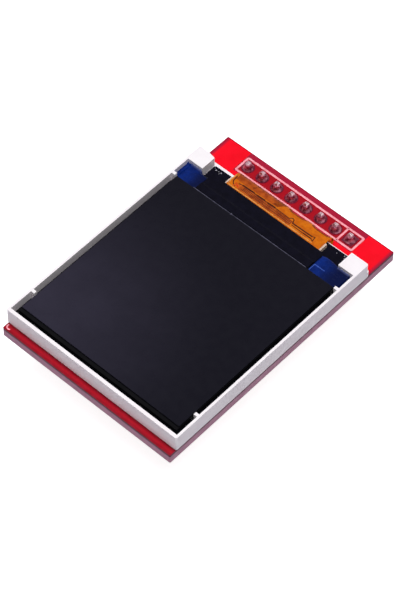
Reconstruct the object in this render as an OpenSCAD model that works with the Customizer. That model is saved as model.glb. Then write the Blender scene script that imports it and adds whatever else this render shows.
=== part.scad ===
// Small square TFT display module: a flat liquid crystal panel with its backlight,
// taped to a red circuit board that plugs in by one row of header pins.
// X runs along the pin row, +Y points to the board's header end, +Z out of the screen.
// The origin is the middle of the pin row on the seating face of the header.

/* [Liquid crystal panel] */
// Width of both glasses
glass_w = 27.2; // [25:0.1:31]
// Length of the front glass
front_glass_l = 29.55; // [27:0.05:33]
// Length of the rear glass that projects as a ledge past the front glass
ledge_l = 2.8; // [2.6:0.05:3.6]
// Thickness of each glass
glass_t = 0.5; // [0.4:0.05:0.7]
// Thickness of the front polarizer
front_polarizer_t = 0.2; // [0.1:0.05:0.3]
// Thickness of the rear polarizer
rear_polarizer_t = 0.15; // [0.1:0.01:0.18]
// Bare glass left in front of the front polarizer
polarizer_front_margin = 0.55; // [0.2:0.05:1.2]
// Bare glass left beside and behind the front polarizer
polarizer_side_margin = 0.1; // [0.05:0.05:0.5]

/* [Driver chip] */
// Distance of the driver chip's ends from the ribbon's edges, along X
chip_inset = 0.35; // [0.1:0.05:2]
// Depth of the driver chip along Y
chip_d = 0.9; // [0.7:0.05:1]
// Thickness of the driver chip
chip_t = 0.3; // [0.2:0.02:0.4]
// Distance from the front glass to the driver chip
chip_setback = 0.4; // [0.35:0.05:0.45]

/* [Moulded frame] */
// Thickness of the frame's side walls beside the glass
side_wall = 0.35; // [0.25:0.05:0.8]
// Thickness of the frame's front wall
front_wall = 0.5; // [0.3:0.05:1]
// Gap between the glass and the frame's walls
glass_gap = 0.65; // [0.3:0.05:0.9]
// Gap left between the glass and the parts that locate it
glass_clearance = 0.1; // [0.05:0.01:0.2]
// Width of each locating nub along the wall
nub_w = 0.45; // [0.3:0.05:1]
// Distance of the front nubs behind the glass's front edge, and of the rear nubs before its step
nub_inset = [3.2, 0.1]; // [0:0.05:6]
// Width of the corner posts
post_w = 2.85; // [2:0.05:3.4]
// Length of the corner posts
post_l = 2.65; // [2:0.05:4]
// Size of the bevel that marks the left corner post, along X and along Y
key_bevel = [1.2, 0.25]; // [0.2:0.05:1.5]
// Reach of the frame's base behind the corner posts
base_reach = 0.25; // [0.05:0.05:0.4]
// Height of the rim above the front polarizer
rim_rise = 0.2; // [0.05:0.05:0.5]
// Width of the seat that carries the glass
glass_seat = 0.9; // [0.6:0.05:1.5]
// Radius of the frame's outer corners
frame_corner_r = 0.25; // [0.05:0.05:0.6]
// Bevel under the frame's rear edge, where the ribbon folds round it
fold_bevel = 0.3; // [0.15:0.05:0.4]

/* [Backlight] */
// Thickness of the reflector sheet
reflector_t = 0.1; // [0.05:0.01:0.15]
// Width of the reflector sheet's glued margin outside the light opening
reflector_margin = 0.5; // [0.3:0.05:0.8]
// Thickness of the light guide, and height of the LEDs beside it
guide_t = 0.6; // [0.5:0.05:1]
// Thickness of the diffuser film and of the LED strip in the same layer
diffuser_t = 0.1; // [0.05:0.01:0.15]
// Thickness of each prism film
prism_t = 0.1; // [0.05:0.01:0.15]
// Thickness of the foam rim tape between backlight and glass
rim_tape_t = 0.2; // [0.19:0.01:0.3]
// Width by which the rim tape covers the films' edges
rim_overlap = 0.3; // [0.2:0.05:0.6]
// Gap between a loose sheet and the opening that it lies in
sheet_clearance = 0.1; // [0.05:0.01:0.2]
// Number of LEDs
led_count = 3; // [2:1:3]
// Width of an LED along X
led_w = 3.8; // [3:0.1:4.2]
// Depth of an LED along Y
led_d = 1; // [0.8:0.05:1.1]
// Spacing of the LEDs
led_pitch = 8; // [4.8:0.1:8.5]
// Length of the light guide that the LED strip overlaps
strip_overlap = 0.6; // [0.4:0.05:0.9]

/* [Ribbon] */
// Width of the ribbon
ribbon_w = 16.1; // [15.4:0.1:18]
// Width of the ribbon's soldered tail
tail_w = 12.4; // [11.8:0.1:13.5]
// Thickness of the ribbon
ribbon_t = 0.1; // [0.06:0.01:0.12]
// Length of the ribbon that is bonded to the glass ledge
bond_l = 1; // [0.6:0.05:1.1]
// Distance of the fold's axis from the frame's rear edge
fold_inset = 0.15; // [0.1:0.05:0.4]
// Distance of the tail's shoulders from the fold's axis
tail_shoulder = 0.3; // [0.1:0.05:0.6]
// Length of the tail under the frame, from the fold's axis
tail_l = 4.5; // [3.5:0.1:6]
// Sideways offset of the ribbon from the middle of the board
ribbon_offset = -0.2; // [-0.8:0.05:0.8]
// Number of relief slots along the fold
relief_count = 2; // [1:1:3]
// Length of a relief slot along X
relief_w = 2.8; // [0.5:0.1:3.6]
// Spacing of the relief slots
relief_pitch = 4; // [3.8:0.1:4.6]
// Distance of the last relief slot's middle from the ribbon's edge
relief_inset = 1.7; // [0.5:0.1:2.5]
// Distance of a relief slot's upper end behind the fold's axis
relief_start = 0.4; // [0.05:0.05:0.6]
// Height of a relief slot, down from the ribbon's upper face
relief_h = 1.4; // [0.8:0.1:1.6]
// Number of soldered contacts
contact_count = 14; // [8:1:14]
// Spacing of the soldered contacts
contact_pitch = 0.8; // [0.7:0.05:0.8]
// Width of a soldered contact
contact_w = 0.4; // [0.3:0.05:0.5]
// Length of a soldered contact
contact_l = 1.8; // [1:0.1:2.5]

/* [Tapes and glue] */
// Thickness of the tape that holds the display on the board
mount_tape_t = 0.2; // [0.2:0.01:0.4]
// Distance of the mounting tape from the frame's outline
mount_tape_inset = 0.6; // [0.4:0.1:2]
// Thickness of the black tapes
black_tape_t = 0.05; // [0.03:0.01:0.08]
// Reach of the black tape past the ribbon's left and right edges
cover_margin = [2.3, 1]; // [0.5:0.05:2.5]
// Length of ribbon hidden by the black tape beyond the glass ledge
cover_lap = 0.7; // [0.4:0.05:1.2]
// Width of the frame's base left bare behind the black tape
rear_bare = 0.45; // [0.05:0.05:0.6]
// Corner radius of the black tape on the frame's rear bar
rear_tape_r = 0.2; // [0.1:0.05:1]
// Reach of the ribbon's support strip past the ribbon's edges
support_margin = 0.25; // [0:0.05:0.6]
// Length of the ribbon's support strip along Y
support_l = 1.45; // [0.8:0.05:1.7]
// Distance of the support strip's rear edge from the fold's axis
support_setback = 0.65; // [0.3:0.05:0.8]
// Thickness of the blue glue on the glass ledge
glue_t = 0.12; // [0.06:0.01:0.2]
// Reach of the right glue over the ledge's rear edge
glue_run = 0.6; // [0.1:0.05:0.8]
// Gap between a glue patch and its neighbours
glue_gap = 0.05; // [0.02:0.01:0.1]

/* [Board] */
// Thickness of the board
board_t = 1.6; // [0.8:0.1:2]
// Radius of the board's corners
board_corner_r = 0.15; // [0.05:0.05:1.5]
// Overhang of the display's frame past each long edge of the board
frame_overhang = 0.15; // [-1:0.05:0.3]
// Board left bare in front of the frame
front_strip = 1; // [0.3:0.1:4]
// Distance from the frame's rear edge to the pin row
frame_to_row = 2.95; // [2.35:0.05:6]
// Distance from the pin row to the board's rear edge
row_inset = 2.25; // [1.6:0.05:4]

/* [Header] */
// Number of pins
pin_count = 8; // [4:1:9]
// Spacing of the pins
pin_pitch = 2.54; // [2.4:0.02:2.6]
// Width of the square pins
pin_side = 0.64; // [0.5:0.02:0.66]
// Length of pin above the board
pin_above = 1.25; // [0.9:0.05:2]
// Length of pin below the header's seating face
pin_below = 6.1; // [3:0.1:8]
// Length of the taper at each end of a pin
pin_taper = 0.25; // [0.1:0.05:0.4]
// Width of the header's plastic strip
strip_d = 2.5; // [2:0.05:2.6]
// Height of the header's plastic strip
strip_h = 2.54; // [1.5:0.02:3]
// Size of the notch between two cells of the strip
strip_notch = 0.4; // [0.2:0.05:0.6]
// Diameter of a plated hole inside its plating
hole_d = 1.02; // [1:0.01:1.1]
// Thickness of the copper plating and of the pads
copper_t = 0.05; // [0.03:0.01:0.08]
// Diameter of a round pad, and side of the first pin's square pad
pad_d = 1.75; // [1.6:0.05:1.9]
// Height of the solder round a pin
solder_h = 0.75; // [0.4:0.05:0.8]

/* [Parts on the back] */
// Length, width and height of a chip resistor
resistor = [1.6, 0.8, 0.45]; // [0.3:0.05:2]
// Number of chip resistors
resistor_count = 5; // [1:1:5]
// Length, width and height of a chip capacitor
capacitor = [1.6, 0.8, 0.8]; // [0.3:0.05:2]
// Number of chip capacitors
capacitor_count = 3; // [1:1:3]
// Spacing of the chip resistors and capacitors
chip_pitch = 2; // [1.6:0.1:2.4]
// Length of a chip's metal ends
chip_end = 0.3; // [0.15:0.05:0.4]
// Thickness of the metal on a chip's ends
chip_metal_t = 0.03; // [0.02:0.01:0.05]
// Body length, width and height of the regulator and the transistor
sot_body = [2.9, 1.3, 1]; // [0.8:0.05:3.2]
// Thickness of their legs
sot_leg_t = 0.12; // [0.1:0.01:0.15]
// Width of their legs
sot_leg_w = 0.4; // [0.3:0.05:0.5]
// Reach of their legs past the body
sot_leg_reach = 0.55; // [0.4:0.05:0.7]
// Spacing of the outer legs
sot_leg_pitch = 1.9; // [1.7:0.1:2]
// Distance from the pin row to the row of parts on the back
parts_row = 6; // [4:0.1:12]
// Distance of the regulator and the transistor from the middle of the board
sot_spread = 9.2; // [8.4:0.1:10.5]

/* [Hidden] */

// Overshoot that lets a cut pass cleanly through a face.
cut = 0.01;
// Gap that keeps solder clear of the round wall of its hole.
solder_gap = 0.01;
$fn = 48;

// Heights of the backlight's layers above the frame's underside.
guide_top = reflector_t + guide_t;
shelf_h = guide_top + diffuser_t + 2 * prism_t;
rear_glass_h = shelf_h + rim_tape_t;
ledge_h = rear_glass_h + glass_t;
polarizer_h = ledge_h + glass_t;
frame_h = polarizer_h + front_polarizer_t + rim_rise;

// Outline of the frame and of the places in it, from its front edge.
frame_w = glass_w + 2 * (glass_gap + side_wall);
glass_front = front_wall + glass_gap;
front_glass_end = glass_front + front_glass_l;
rear_glass_l = front_glass_l + ledge_l;
rear_glass_end = glass_front + rear_glass_l;
post_front = rear_glass_end + glass_clearance;
post_end = post_front + post_l;
frame_l = post_end + base_reach;
pocket_w = frame_w - 2 * side_wall;
post_gap = frame_w - 2 * post_w;
nub_l = glass_gap - glass_clearance;
nub_places = [glass_front + nub_inset[0], front_glass_end - nub_inset[1]];

// The light opening, its LED bay and the sheets that lie in them.
opening_w = glass_w - 2 * glass_seat;
opening_front = glass_front + glass_seat;
sheet_w = opening_w - 2 * sheet_clearance;
sheet_front = opening_front + sheet_clearance;
guide_end = front_glass_end + sheet_clearance;
led_front = guide_end + sheet_clearance;
bay_end = led_front + led_d + sheet_clearance;
strip_front = guide_end - strip_overlap;
film_end = strip_front - sheet_clearance;
tape_opening_w = opening_w - 2 * rim_overlap;
tape_opening_front = opening_front + rim_overlap;
tape_opening_end = film_end - rim_overlap;
notch_w = nub_w + 2 * sheet_clearance;
notch_l = nub_l + sheet_clearance;

// The board, with the frame taped on top of it.
board_w = frame_w - 2 * frame_overhang;
board_l = front_strip + frame_l + frame_to_row + row_inset;
board_bottom = strip_h + copper_t;
board_top = board_bottom + board_t;
board_rear = row_inset;
board_front = board_rear - board_l;
frame_front = board_front + front_strip;
frame_bottom = board_top + mount_tape_t;

// The ribbon's fold, seen from the side: both faces are tangent to the flat stretches.
ribbon_top = mount_tape_t + ledge_h + ribbon_t;
ribbon_bottom = copper_t;
fold_r = (ribbon_top - ribbon_bottom) / 2;
fold_z = (ribbon_top + ribbon_bottom) / 2;
fold_y = frame_l - fold_inset;
bond_front = rear_glass_end - bond_l;
tail_end = fold_y - tail_l;
cover_end = rear_glass_end + cover_lap;
cover_left = ribbon_offset - ribbon_w / 2 - cover_margin[0];
cover_right = ribbon_offset + ribbon_w / 2 + cover_margin[1];
chip_front = front_glass_end + chip_setback;
glue_left_w = cover_left - glue_gap + glass_w / 2;
glue_right_w = glass_w / 2 - cover_right - glue_gap;
glue_front = front_glass_end + glue_gap;
glue_l = rear_glass_end - glue_front;
glue_right_x = cover_right + glue_gap;
run_w = post_gap / 2 - glue_gap - glue_right_x;
spill_front = max(glue_front, nub_places[1] + nub_w / 2 + glue_gap);

// The header.
barrel_r = hole_d / 2 + copper_t;
row_middle = (pin_count - 1) / 2;
foot_r = pad_d / 2 - 2 * copper_t;
neck_r = pin_side * 0.72;

// The parts on the back.
chip_rows = [for (i = [0:resistor_count + capacitor_count - 1])
    (i - (resistor_count + capacitor_count - 1) / 2) * chip_pitch];

// A rectangle with round corners, centred on X, with its front edge on the X axis.
module plate(w, l, r) {
    translate([-w / 2, r]) square([w, l - 2 * r]);
    translate([r - w / 2, 0]) square([w - 2 * r, l]);
    for (x = [-1, 1], y = [r, l - r]) translate([x * (w / 2 - r), y]) circle(r);
}

// A sheet in the display, placed by the frame's own front edge and underside.
module layer(w, front, end, bottom, thickness) {
    translate([-w / 2, frame_front + front, frame_bottom + bottom])
        cube([w, end - front, thickness]);
}

// A side profile drawn with Y along its first axis and Z along its second, spread along X.
module along_x(w, x = 0) {
    translate([x - w / 2, 0, 0]) rotate([90, 0, 90]) linear_extrude(w) children();
}

// One copy of the children at each pin.
module at_pins() {
    for (i = [0:pin_count - 1]) translate([(i - row_middle) * pin_pitch, 0, 0]) children();
}

// The first pin, at the +X end, has the square pad.
module pad_shapes() {
    for (i = [0:pin_count - 2]) translate([(i - row_middle) * pin_pitch, 0]) circle(d = pad_d);
    translate([row_middle * pin_pitch, 0]) square(pad_d, center = true);
}

// Board
module board() {
    color([0.85, 0.06, 0.14]) difference() {
        translate([0, board_front, board_bottom])
            linear_extrude(board_t) plate(board_w, board_l, board_corner_r);
        at_pins() translate([0, 0, board_bottom - cut])
            cylinder(r = barrel_r, h = board_t + 2 * cut);
    }
}

// Pads on both faces and the plated wall of each hole
module header_pads() {
    color([0.8, 0.78, 0.72]) difference() {
        union() {
            for (z = [board_bottom - copper_t, board_top])
                translate([0, 0, z]) linear_extrude(copper_t) pad_shapes();
            at_pins() translate([0, 0, board_bottom]) cylinder(r = barrel_r, h = board_t);
        }
        at_pins() translate([0, 0, board_bottom - copper_t - cut])
            cylinder(d = hole_d, h = board_t + 2 * (copper_t + cut));
    }
}

// Plastic strip, notched between its cells
module header_strip() {
    cell = [[-pin_pitch / 2, -strip_d / 2 + strip_notch], [-pin_pitch / 2 + strip_notch, -strip_d / 2],
        [pin_pitch / 2 - strip_notch, -strip_d / 2], [pin_pitch / 2, -strip_d / 2 + strip_notch],
        [pin_pitch / 2, strip_d / 2 - strip_notch], [pin_pitch / 2 - strip_notch, strip_d / 2],
        [-pin_pitch / 2 + strip_notch, strip_d / 2], [-pin_pitch / 2, strip_d / 2 - strip_notch]];
    color([0.07, 0.07, 0.08]) linear_extrude(strip_h) difference() {
        for (i = [0:pin_count - 1]) translate([(i - row_middle) * pin_pitch, 0]) polygon(cell);
        for (i = [0:pin_count - 1]) translate([(i - row_middle) * pin_pitch, 0])
            square(pin_side, center = true);
    }
}

// Side profile of a pin, tapered at both ends
module pin_profile() {
    top = board_top + pin_above;
    tip = pin_side / 4;
    polygon([[-tip, -pin_below], [tip, -pin_below], [pin_side / 2, pin_taper - pin_below],
        [pin_side / 2, top - pin_taper], [tip, top], [-tip, top],
        [-pin_side / 2, top - pin_taper], [-pin_side / 2, pin_taper - pin_below]]);
}

// Square pins, tapered on all four sides
module header_pins() {
    color([0.86, 0.8, 0.62]) at_pins() intersection() {
        rotate([90, 0, 90]) linear_extrude(pin_side, center = true) pin_profile();
        rotate([90, 0, 0]) linear_extrude(pin_side, center = true) pin_profile();
    }
}

// Solder that fills each hole and climbs its pin
module header_solder() {
    fillet_base = board_top + copper_t;
    color([0.72, 0.72, 0.74]) at_pins() difference() {
        union() {
            translate([0, 0, board_bottom]) cylinder(d = hole_d - 2 * solder_gap, h = board_t + copper_t);
            translate([0, 0, fillet_base]) rotate_extrude() polygon([[0, 0], [foot_r, 0],
                [(foot_r + neck_r) / 2, solder_h * 0.3], [neck_r + (foot_r - neck_r) * 0.2, solder_h * 0.62],
                [neck_r, solder_h], [0, solder_h]]);
        }
        translate([-pin_side / 2, -pin_side / 2, 0]) cube([pin_side, pin_side, fillet_base + pin_above]);
    }
}

// Double-sided tape between the board and the display
module mounting_tape() {
    front = mount_tape_inset;
    end = tail_end - mount_tape_inset;
    color([0.9, 0.9, 0.86]) translate([-frame_w / 2 + mount_tape_inset, frame_front + front, board_top])
        cube([frame_w - 2 * mount_tape_inset, end - front, mount_tape_t]);
}

// Plan of the frame above its seat: the outer walls, the locating nubs and the corner posts
module frame_walls_plan() {
    difference() {
        plate(frame_w, post_end, frame_corner_r);
        translate([-pocket_w / 2, front_wall]) square([pocket_w, post_front - front_wall]);
        translate([-post_gap / 2, front_wall]) square([post_gap, post_end]);
        translate([-post_gap / 2, post_end]) polygon([[cut, cut], [-key_bevel[0], cut],
            [-key_bevel[0], 0], [0, -key_bevel[1]], [cut, -key_bevel[1]]]);
    }
    for (y = nub_places, side = [-1, 1])
        translate([side * (pocket_w - nub_l) / 2 - nub_l / 2, y - nub_w / 2]) square([nub_l, nub_w]);
}

// White moulded frame: seat, light opening, LED bay, walls, nubs and posts in one piece
module backlight_frame() {
    color([0.96, 0.95, 0.96]) translate([0, frame_front, frame_bottom]) difference() {
        union() {
            linear_extrude(shelf_h) plate(frame_w, frame_l, frame_corner_r);
            linear_extrude(frame_h) frame_walls_plan();
        }
        translate([-opening_w / 2, opening_front, -cut])
            cube([opening_w, led_front - opening_front, shelf_h + 2 * cut]);
        translate([-opening_w / 2, strip_front - sheet_clearance, guide_top])
            cube([opening_w, bay_end - strip_front + sheet_clearance, shelf_h]);
        for (i = [0:led_count - 1])
            translate([(i - (led_count - 1) / 2) * led_pitch - led_w / 2 - sheet_clearance,
                led_front - cut, -cut])
                cube([led_w + 2 * sheet_clearance, bay_end - led_front + cut, shelf_h]);
        translate([-opening_w / 2 - reflector_margin, opening_front - reflector_margin, -cut])
            cube([opening_w + 2 * reflector_margin, bay_end - opening_front + 2 * reflector_margin,
                reflector_t + cut]);
        translate([0, frame_l, 0]) along_x(frame_w + 2 * cut)
            polygon([[cut, -cut], [cut, fold_bevel], [0, fold_bevel], [-fold_bevel, 0], [-fold_bevel, -cut]]);
    }
}

// White sheet under the light guide
module reflector() {
    margin = reflector_margin - sheet_clearance;
    color([0.93, 0.94, 0.95])
        layer(opening_w + 2 * margin, opening_front - margin, bay_end + margin, 0, reflector_t);
}

// Clear plate that spreads the light of the LEDs
module light_guide() {
    color([0.85, 0.92, 0.95]) layer(sheet_w, sheet_front, guide_end, reflector_t, guide_t);
}

// First film above the light guide
module diffuser() {
    color([0.92, 0.92, 0.92]) layer(sheet_w, sheet_front, film_end, guide_top, diffuser_t);
}

// Film that gathers the light across X
module prism_film_lower() {
    color([0.8, 0.84, 0.88]) layer(sheet_w, sheet_front, film_end, guide_top + diffuser_t, prism_t);
}

// Film that gathers the light across Y
module prism_film_upper() {
    color([0.76, 0.81, 0.87])
        layer(sheet_w, sheet_front, film_end, guide_top + diffuser_t + prism_t, prism_t);
}

// LEDs that shine into the rear edge of the light guide
module leds() {
    color([0.95, 0.9, 0.6]) for (i = [0:led_count - 1])
        translate([(i - (led_count - 1) / 2) * led_pitch - led_w / 2, frame_front + led_front,
            frame_bottom + reflector_t]) cube([led_w, led_d, guide_t]);
}

// Narrow ribbon that carries the LEDs
module led_strip() {
    color([0.85, 0.5, 0.15]) layer(sheet_w, strip_front, bay_end - sheet_clearance, guide_top, diffuser_t);
}

// Foam ring that covers the whole seat, notched round the locating nubs
module rim_tape() {
    color([0.08, 0.08, 0.09]) difference() {
        layer(pocket_w, front_wall, rear_glass_end, shelf_h, rim_tape_t);
        layer(tape_opening_w, tape_opening_front, tape_opening_end, shelf_h - cut, rim_tape_t + 2 * cut);
        for (y = nub_places, side = [-1, 1]) translate([side * (pocket_w - notch_l + cut) / 2, 0, 0])
            layer(notch_l + cut, y - notch_w / 2, y + notch_w / 2, shelf_h - cut, rim_tape_t + 2 * cut);
    }
}

// Polarizer on the back of the rear glass
module rear_polarizer() {
    color([0.2, 0.2, 0.24]) layer(tape_opening_w - 2 * sheet_clearance, tape_opening_front + sheet_clearance,
        tape_opening_end - sheet_clearance, rear_glass_h - rear_polarizer_t, rear_polarizer_t);
}

// Glass with the transistors, longer than the front glass by its ledge
module rear_glass() {
    color([0.3, 0.34, 0.38]) layer(glass_w, glass_front, rear_glass_end, rear_glass_h, glass_t);
}

// Glass with the colour filters
module front_glass() {
    color([0.12, 0.12, 0.15]) layer(glass_w, glass_front, front_glass_end, ledge_h, glass_t);
}

// Dark film that is the visible face of the screen
module front_polarizer() {
    color([0.14, 0.13, 0.17]) layer(glass_w - 2 * polarizer_side_margin, glass_front + polarizer_front_margin,
        front_glass_end - polarizer_side_margin, polarizer_h, front_polarizer_t);
}

// Long thin chip on the glass ledge
module driver_chip() {
    color([0.2, 0.2, 0.22]) translate([ribbon_offset, 0, 0])
        layer(ribbon_w - 2 * chip_inset, chip_front, chip_front + chip_d, ledge_h, chip_t);
}

// Side profile of the tape's underside over the ledge, the chip and the ribbon
function cover_line(rise) = [
    [front_glass_end + glue_gap, ledge_h + rise],
    [chip_front - chip_setback / 2 - rise, ledge_h + rise],
    [chip_front - rise, ledge_h + chip_t + rise],
    [chip_front + chip_d + rise, ledge_h + chip_t + rise],
    [bond_front + rise, ledge_h + ribbon_t + rise],
    [cover_end, ledge_h + ribbon_t + rise]
];

// Black tape over the driver chip and the ribbon's bond
module cover_tape() {
    upper = cover_line(black_tape_t);
    lower = cover_line(0);
    color([0.05, 0.05, 0.07]) translate([0, frame_front, frame_bottom])
        along_x(cover_right - cover_left, (cover_left + cover_right) / 2)
        polygon(concat(lower, [for (i = [len(upper) - 1:-1:0]) upper[i]]));
}

// Glue that has run off one side of the ledge into the gap beside the glass
module glue_spill(side) {
    top = ledge_h + glue_t;
    mirror([side < 0 ? 1 : 0, 0, 0])
        translate([glass_w / 2, frame_front + rear_glass_end, frame_bottom]) rotate([90, 0, 0])
        linear_extrude(rear_glass_end - spill_front) polygon([[0, rear_glass_h], [glass_gap, rear_glass_h],
            [glass_gap, top], [-glass_gap, top], [-glass_gap, ledge_h], [0, ledge_h]]);
}

// Blue glue that covers the bare conductors at the left end of the ledge
module glue_left() {
    color([0.05, 0.12, 0.5]) {
        translate([-(glass_w - glue_left_w) / 2, 0, 0])
            layer(glue_left_w, glue_front, rear_glass_end, ledge_h, glue_t);
        glue_spill(-1);
    }
}

// Plan of the right glue where it bows out over the ledge's rear edge
module glue_run_plan() {
    intersection() {
        translate([glue_right_x + run_w / 2, rear_glass_end + glue_run - run_w]) circle(run_w);
        translate([glue_right_x, rear_glass_end - glue_run]) square([run_w, 2 * glue_run]);
    }
}

// Blue glue at the right end of the ledge, run down on the rear bar beside the post
module glue_right() {
    bar_top = shelf_h + black_tape_t;
    color([0.05, 0.12, 0.5]) {
        translate([0, frame_front, frame_bottom + ledge_h]) linear_extrude(glue_t) {
            translate([glue_right_x, glue_front]) square([glue_right_w, glue_l]);
            glue_run_plan();
        }
        translate([0, frame_front, frame_bottom + bar_top]) linear_extrude(ledge_h + glue_t - bar_top)
            intersection() {
                glue_run_plan();
                translate([glue_right_x, rear_glass_end]) square([run_w, glue_run]);
            }
        glue_spill(1);
    }
}

// Black tape on the frame's rear bar, between the posts
module rear_tape() {
    front = post_front;
    color([0.06, 0.06, 0.08]) translate([0, frame_front + front, frame_bottom + shelf_h])
        linear_extrude(black_tape_t) plate(post_gap - 2 * glue_gap, frame_l - rear_bare - front, rear_tape_r);
}

// Pale strip that props the ribbon up over the frame's rear bar
module ribbon_support() {
    base = shelf_h + black_tape_t;
    color([0.85, 0.78, 0.66]) translate([ribbon_offset, 0, 0])
        layer(ribbon_w + 2 * support_margin, fold_y - support_setback - support_l, fold_y - support_setback,
            base, ledge_h - base);
}

// Side profile of the ribbon: along the ledge, round the fold and back under the frame
module ribbon_profile() {
    translate([bond_front, ribbon_top - ribbon_t]) square([fold_y - bond_front, ribbon_t]);
    translate([tail_end, ribbon_bottom]) square([fold_y - tail_end, ribbon_t]);
    translate([fold_y, fold_z]) intersection() {
        difference() {
            circle(fold_r);
            circle(fold_r - ribbon_t);
        }
        translate([0, -fold_r]) square([fold_r, 2 * fold_r]);
    }
}

// Amber ribbon with relief slots along its fold and a narrower tail
module ribbon() {
    shoulder_w = (ribbon_w - tail_w) / 2;
    color([0.85, 0.5, 0.12]) translate([ribbon_offset, frame_front, board_top]) difference() {
        along_x(ribbon_w) ribbon_profile();
        for (side = [-1, 1])
            translate([side * (tail_w + shoulder_w + cut) / 2 - (shoulder_w + cut) / 2, tail_end - cut, 0])
                cube([shoulder_w + cut, tail_l - tail_shoulder + cut, fold_z]);
        for (i = [0:relief_count - 1])
            translate([ribbon_w / 2 - relief_inset - i * relief_pitch - relief_w / 2,
                fold_y + relief_start, ribbon_top - relief_h]) cube([relief_w, fold_r, relief_h + cut]);
    }
}

// Tinned contacts on the board under the ribbon's tail
module ribbon_contacts() {
    color([0.75, 0.75, 0.76]) for (i = [0:contact_count - 1])
        translate([ribbon_offset + (i - (contact_count - 1) / 2) * contact_pitch - contact_w / 2,
            frame_front + tail_end, board_top]) cube([contact_w, contact_l, ribbon_bottom]);
}

// Body of a small three-legged part under the board, with its legs' plane as its waist
module sot_case() {
    waist = sot_body[2] / 2;
    draft = sot_body[2] / 10;
    translate([0, 0, -sot_body[2]]) intersection() {
        along_x(sot_body[0]) polygon([[draft - sot_body[1] / 2, 0], [sot_body[1] / 2 - draft, 0],
            [sot_body[1] / 2, waist], [sot_body[1] / 2 - draft, sot_body[2]],
            [draft - sot_body[1] / 2, sot_body[2]], [-sot_body[1] / 2, waist]]);
        rotate([90, 0, 0]) linear_extrude(sot_body[1], center = true)
            polygon([[draft - sot_body[0] / 2, 0], [sot_body[0] / 2 - draft, 0],
                [sot_body[0] / 2, waist], [sot_body[0] / 2 - draft, sot_body[2]],
                [draft - sot_body[0] / 2, sot_body[2]], [-sot_body[0] / 2, waist]]);
    }
}

// A gull-wing leg that leaves the case at its waist and stands on the board
module sot_leg(x, side) {
    waist = -sot_body[2] / 2;
    root = sot_body[1] / 2;
    knee = root + sot_leg_reach * 0.35;
    foot = root + sot_leg_reach;
    mirror([0, side < 0 ? 1 : 0, 0]) along_x(sot_leg_w, x)
        polygon([[root, waist - sot_leg_t], [knee + sot_leg_t, waist - sot_leg_t],
            [knee + sot_leg_t, -sot_leg_t], [foot, -sot_leg_t], [foot, 0], [knee, 0],
            [knee, waist], [root, waist]]);
}

// The three legs: two on the row's side, one on the other
module sot_legs() {
    sot_leg(-sot_leg_pitch / 2, 1);
    sot_leg(sot_leg_pitch / 2, 1);
    sot_leg(0, -1);
}

// Place on the back of the board, at a distance along X from its middle
module on_back(x) {
    translate([x, -parts_row, board_bottom]) children();
}

// Voltage regulator
module regulator() {
    color([0.08, 0.08, 0.09]) on_back(-sot_spread) sot_case();
}

// Legs of the voltage regulator
module regulator_legs() {
    color([0.75, 0.75, 0.76]) on_back(-sot_spread) sot_legs();
}

// Transistor that switches the backlight
module transistor() {
    color([0.08, 0.08, 0.09]) on_back(sot_spread) sot_case();
}

// Legs of the transistor
module transistor_legs() {
    color([0.75, 0.75, 0.76]) on_back(sot_spread) sot_legs();
}

// Ceramic body of a chip part, lying across the row under the board
module chip_body(size) {
    translate([-size[1] / 2 + chip_metal_t, -size[0] / 2 + chip_metal_t, chip_metal_t - size[2]])
        cube([size[1] - 2 * chip_metal_t, size[0] - 2 * chip_metal_t, size[2] - 2 * chip_metal_t]);
}

// Metal that wraps the two ends of a chip part
module chip_ends(size) {
    difference() {
        for (side = [-1, 1])
            translate([-size[1] / 2, side * (size[0] - chip_end) / 2 - chip_end / 2, -size[2]])
                cube([size[1], chip_end, size[2]]);
        chip_body(size);
    }
}

// Chip resistors, at the left of the row
module resistors() {
    color([0.12, 0.12, 0.13]) for (i = [0:resistor_count - 1]) on_back(chip_rows[i]) chip_body(resistor);
}

// Metal ends of the chip resistors
module resistor_ends() {
    color([0.78, 0.78, 0.8]) for (i = [0:resistor_count - 1]) on_back(chip_rows[i]) chip_ends(resistor);
}

// Chip capacitors, at the right of the row
module capacitors() {
    color([0.62, 0.5, 0.36]) for (i = [0:capacitor_count - 1])
        on_back(chip_rows[resistor_count + i]) chip_body(capacitor);
}

// Metal ends of the chip capacitors
module capacitor_ends() {
    color([0.78, 0.78, 0.8]) for (i = [0:capacitor_count - 1])
        on_back(chip_rows[resistor_count + i]) chip_ends(capacitor);
}

board();
header_pads();
header_strip();
header_pins();
header_solder();
mounting_tape();
backlight_frame();
reflector();
light_guide();
diffuser();
prism_film_lower();
prism_film_upper();
leds();
led_strip();
rim_tape();
rear_polarizer();
rear_glass();
front_glass();
front_polarizer();
driver_chip();
cover_tape();
glue_left();
glue_right();
rear_tape();
ribbon_support();
ribbon();
ribbon_contacts();
regulator();
regulator_legs();
transistor();
transistor_legs();
resistors();
resistor_ends();
capacitors();
capacitor_ends();
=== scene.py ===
"""Dresses the small TFT display module: finishes for its solids, and the fine pieces on and around them.

Everything is in metres, in the part's own frame: X along the pin row, +Y to the header end, +Z out of the
screen. Places on the board are written in millimetres from its front left corner and its upper face.
"""

import logging
import math
from abc import ABC, abstractmethod
from dataclasses import dataclass
from enum import Enum

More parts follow.
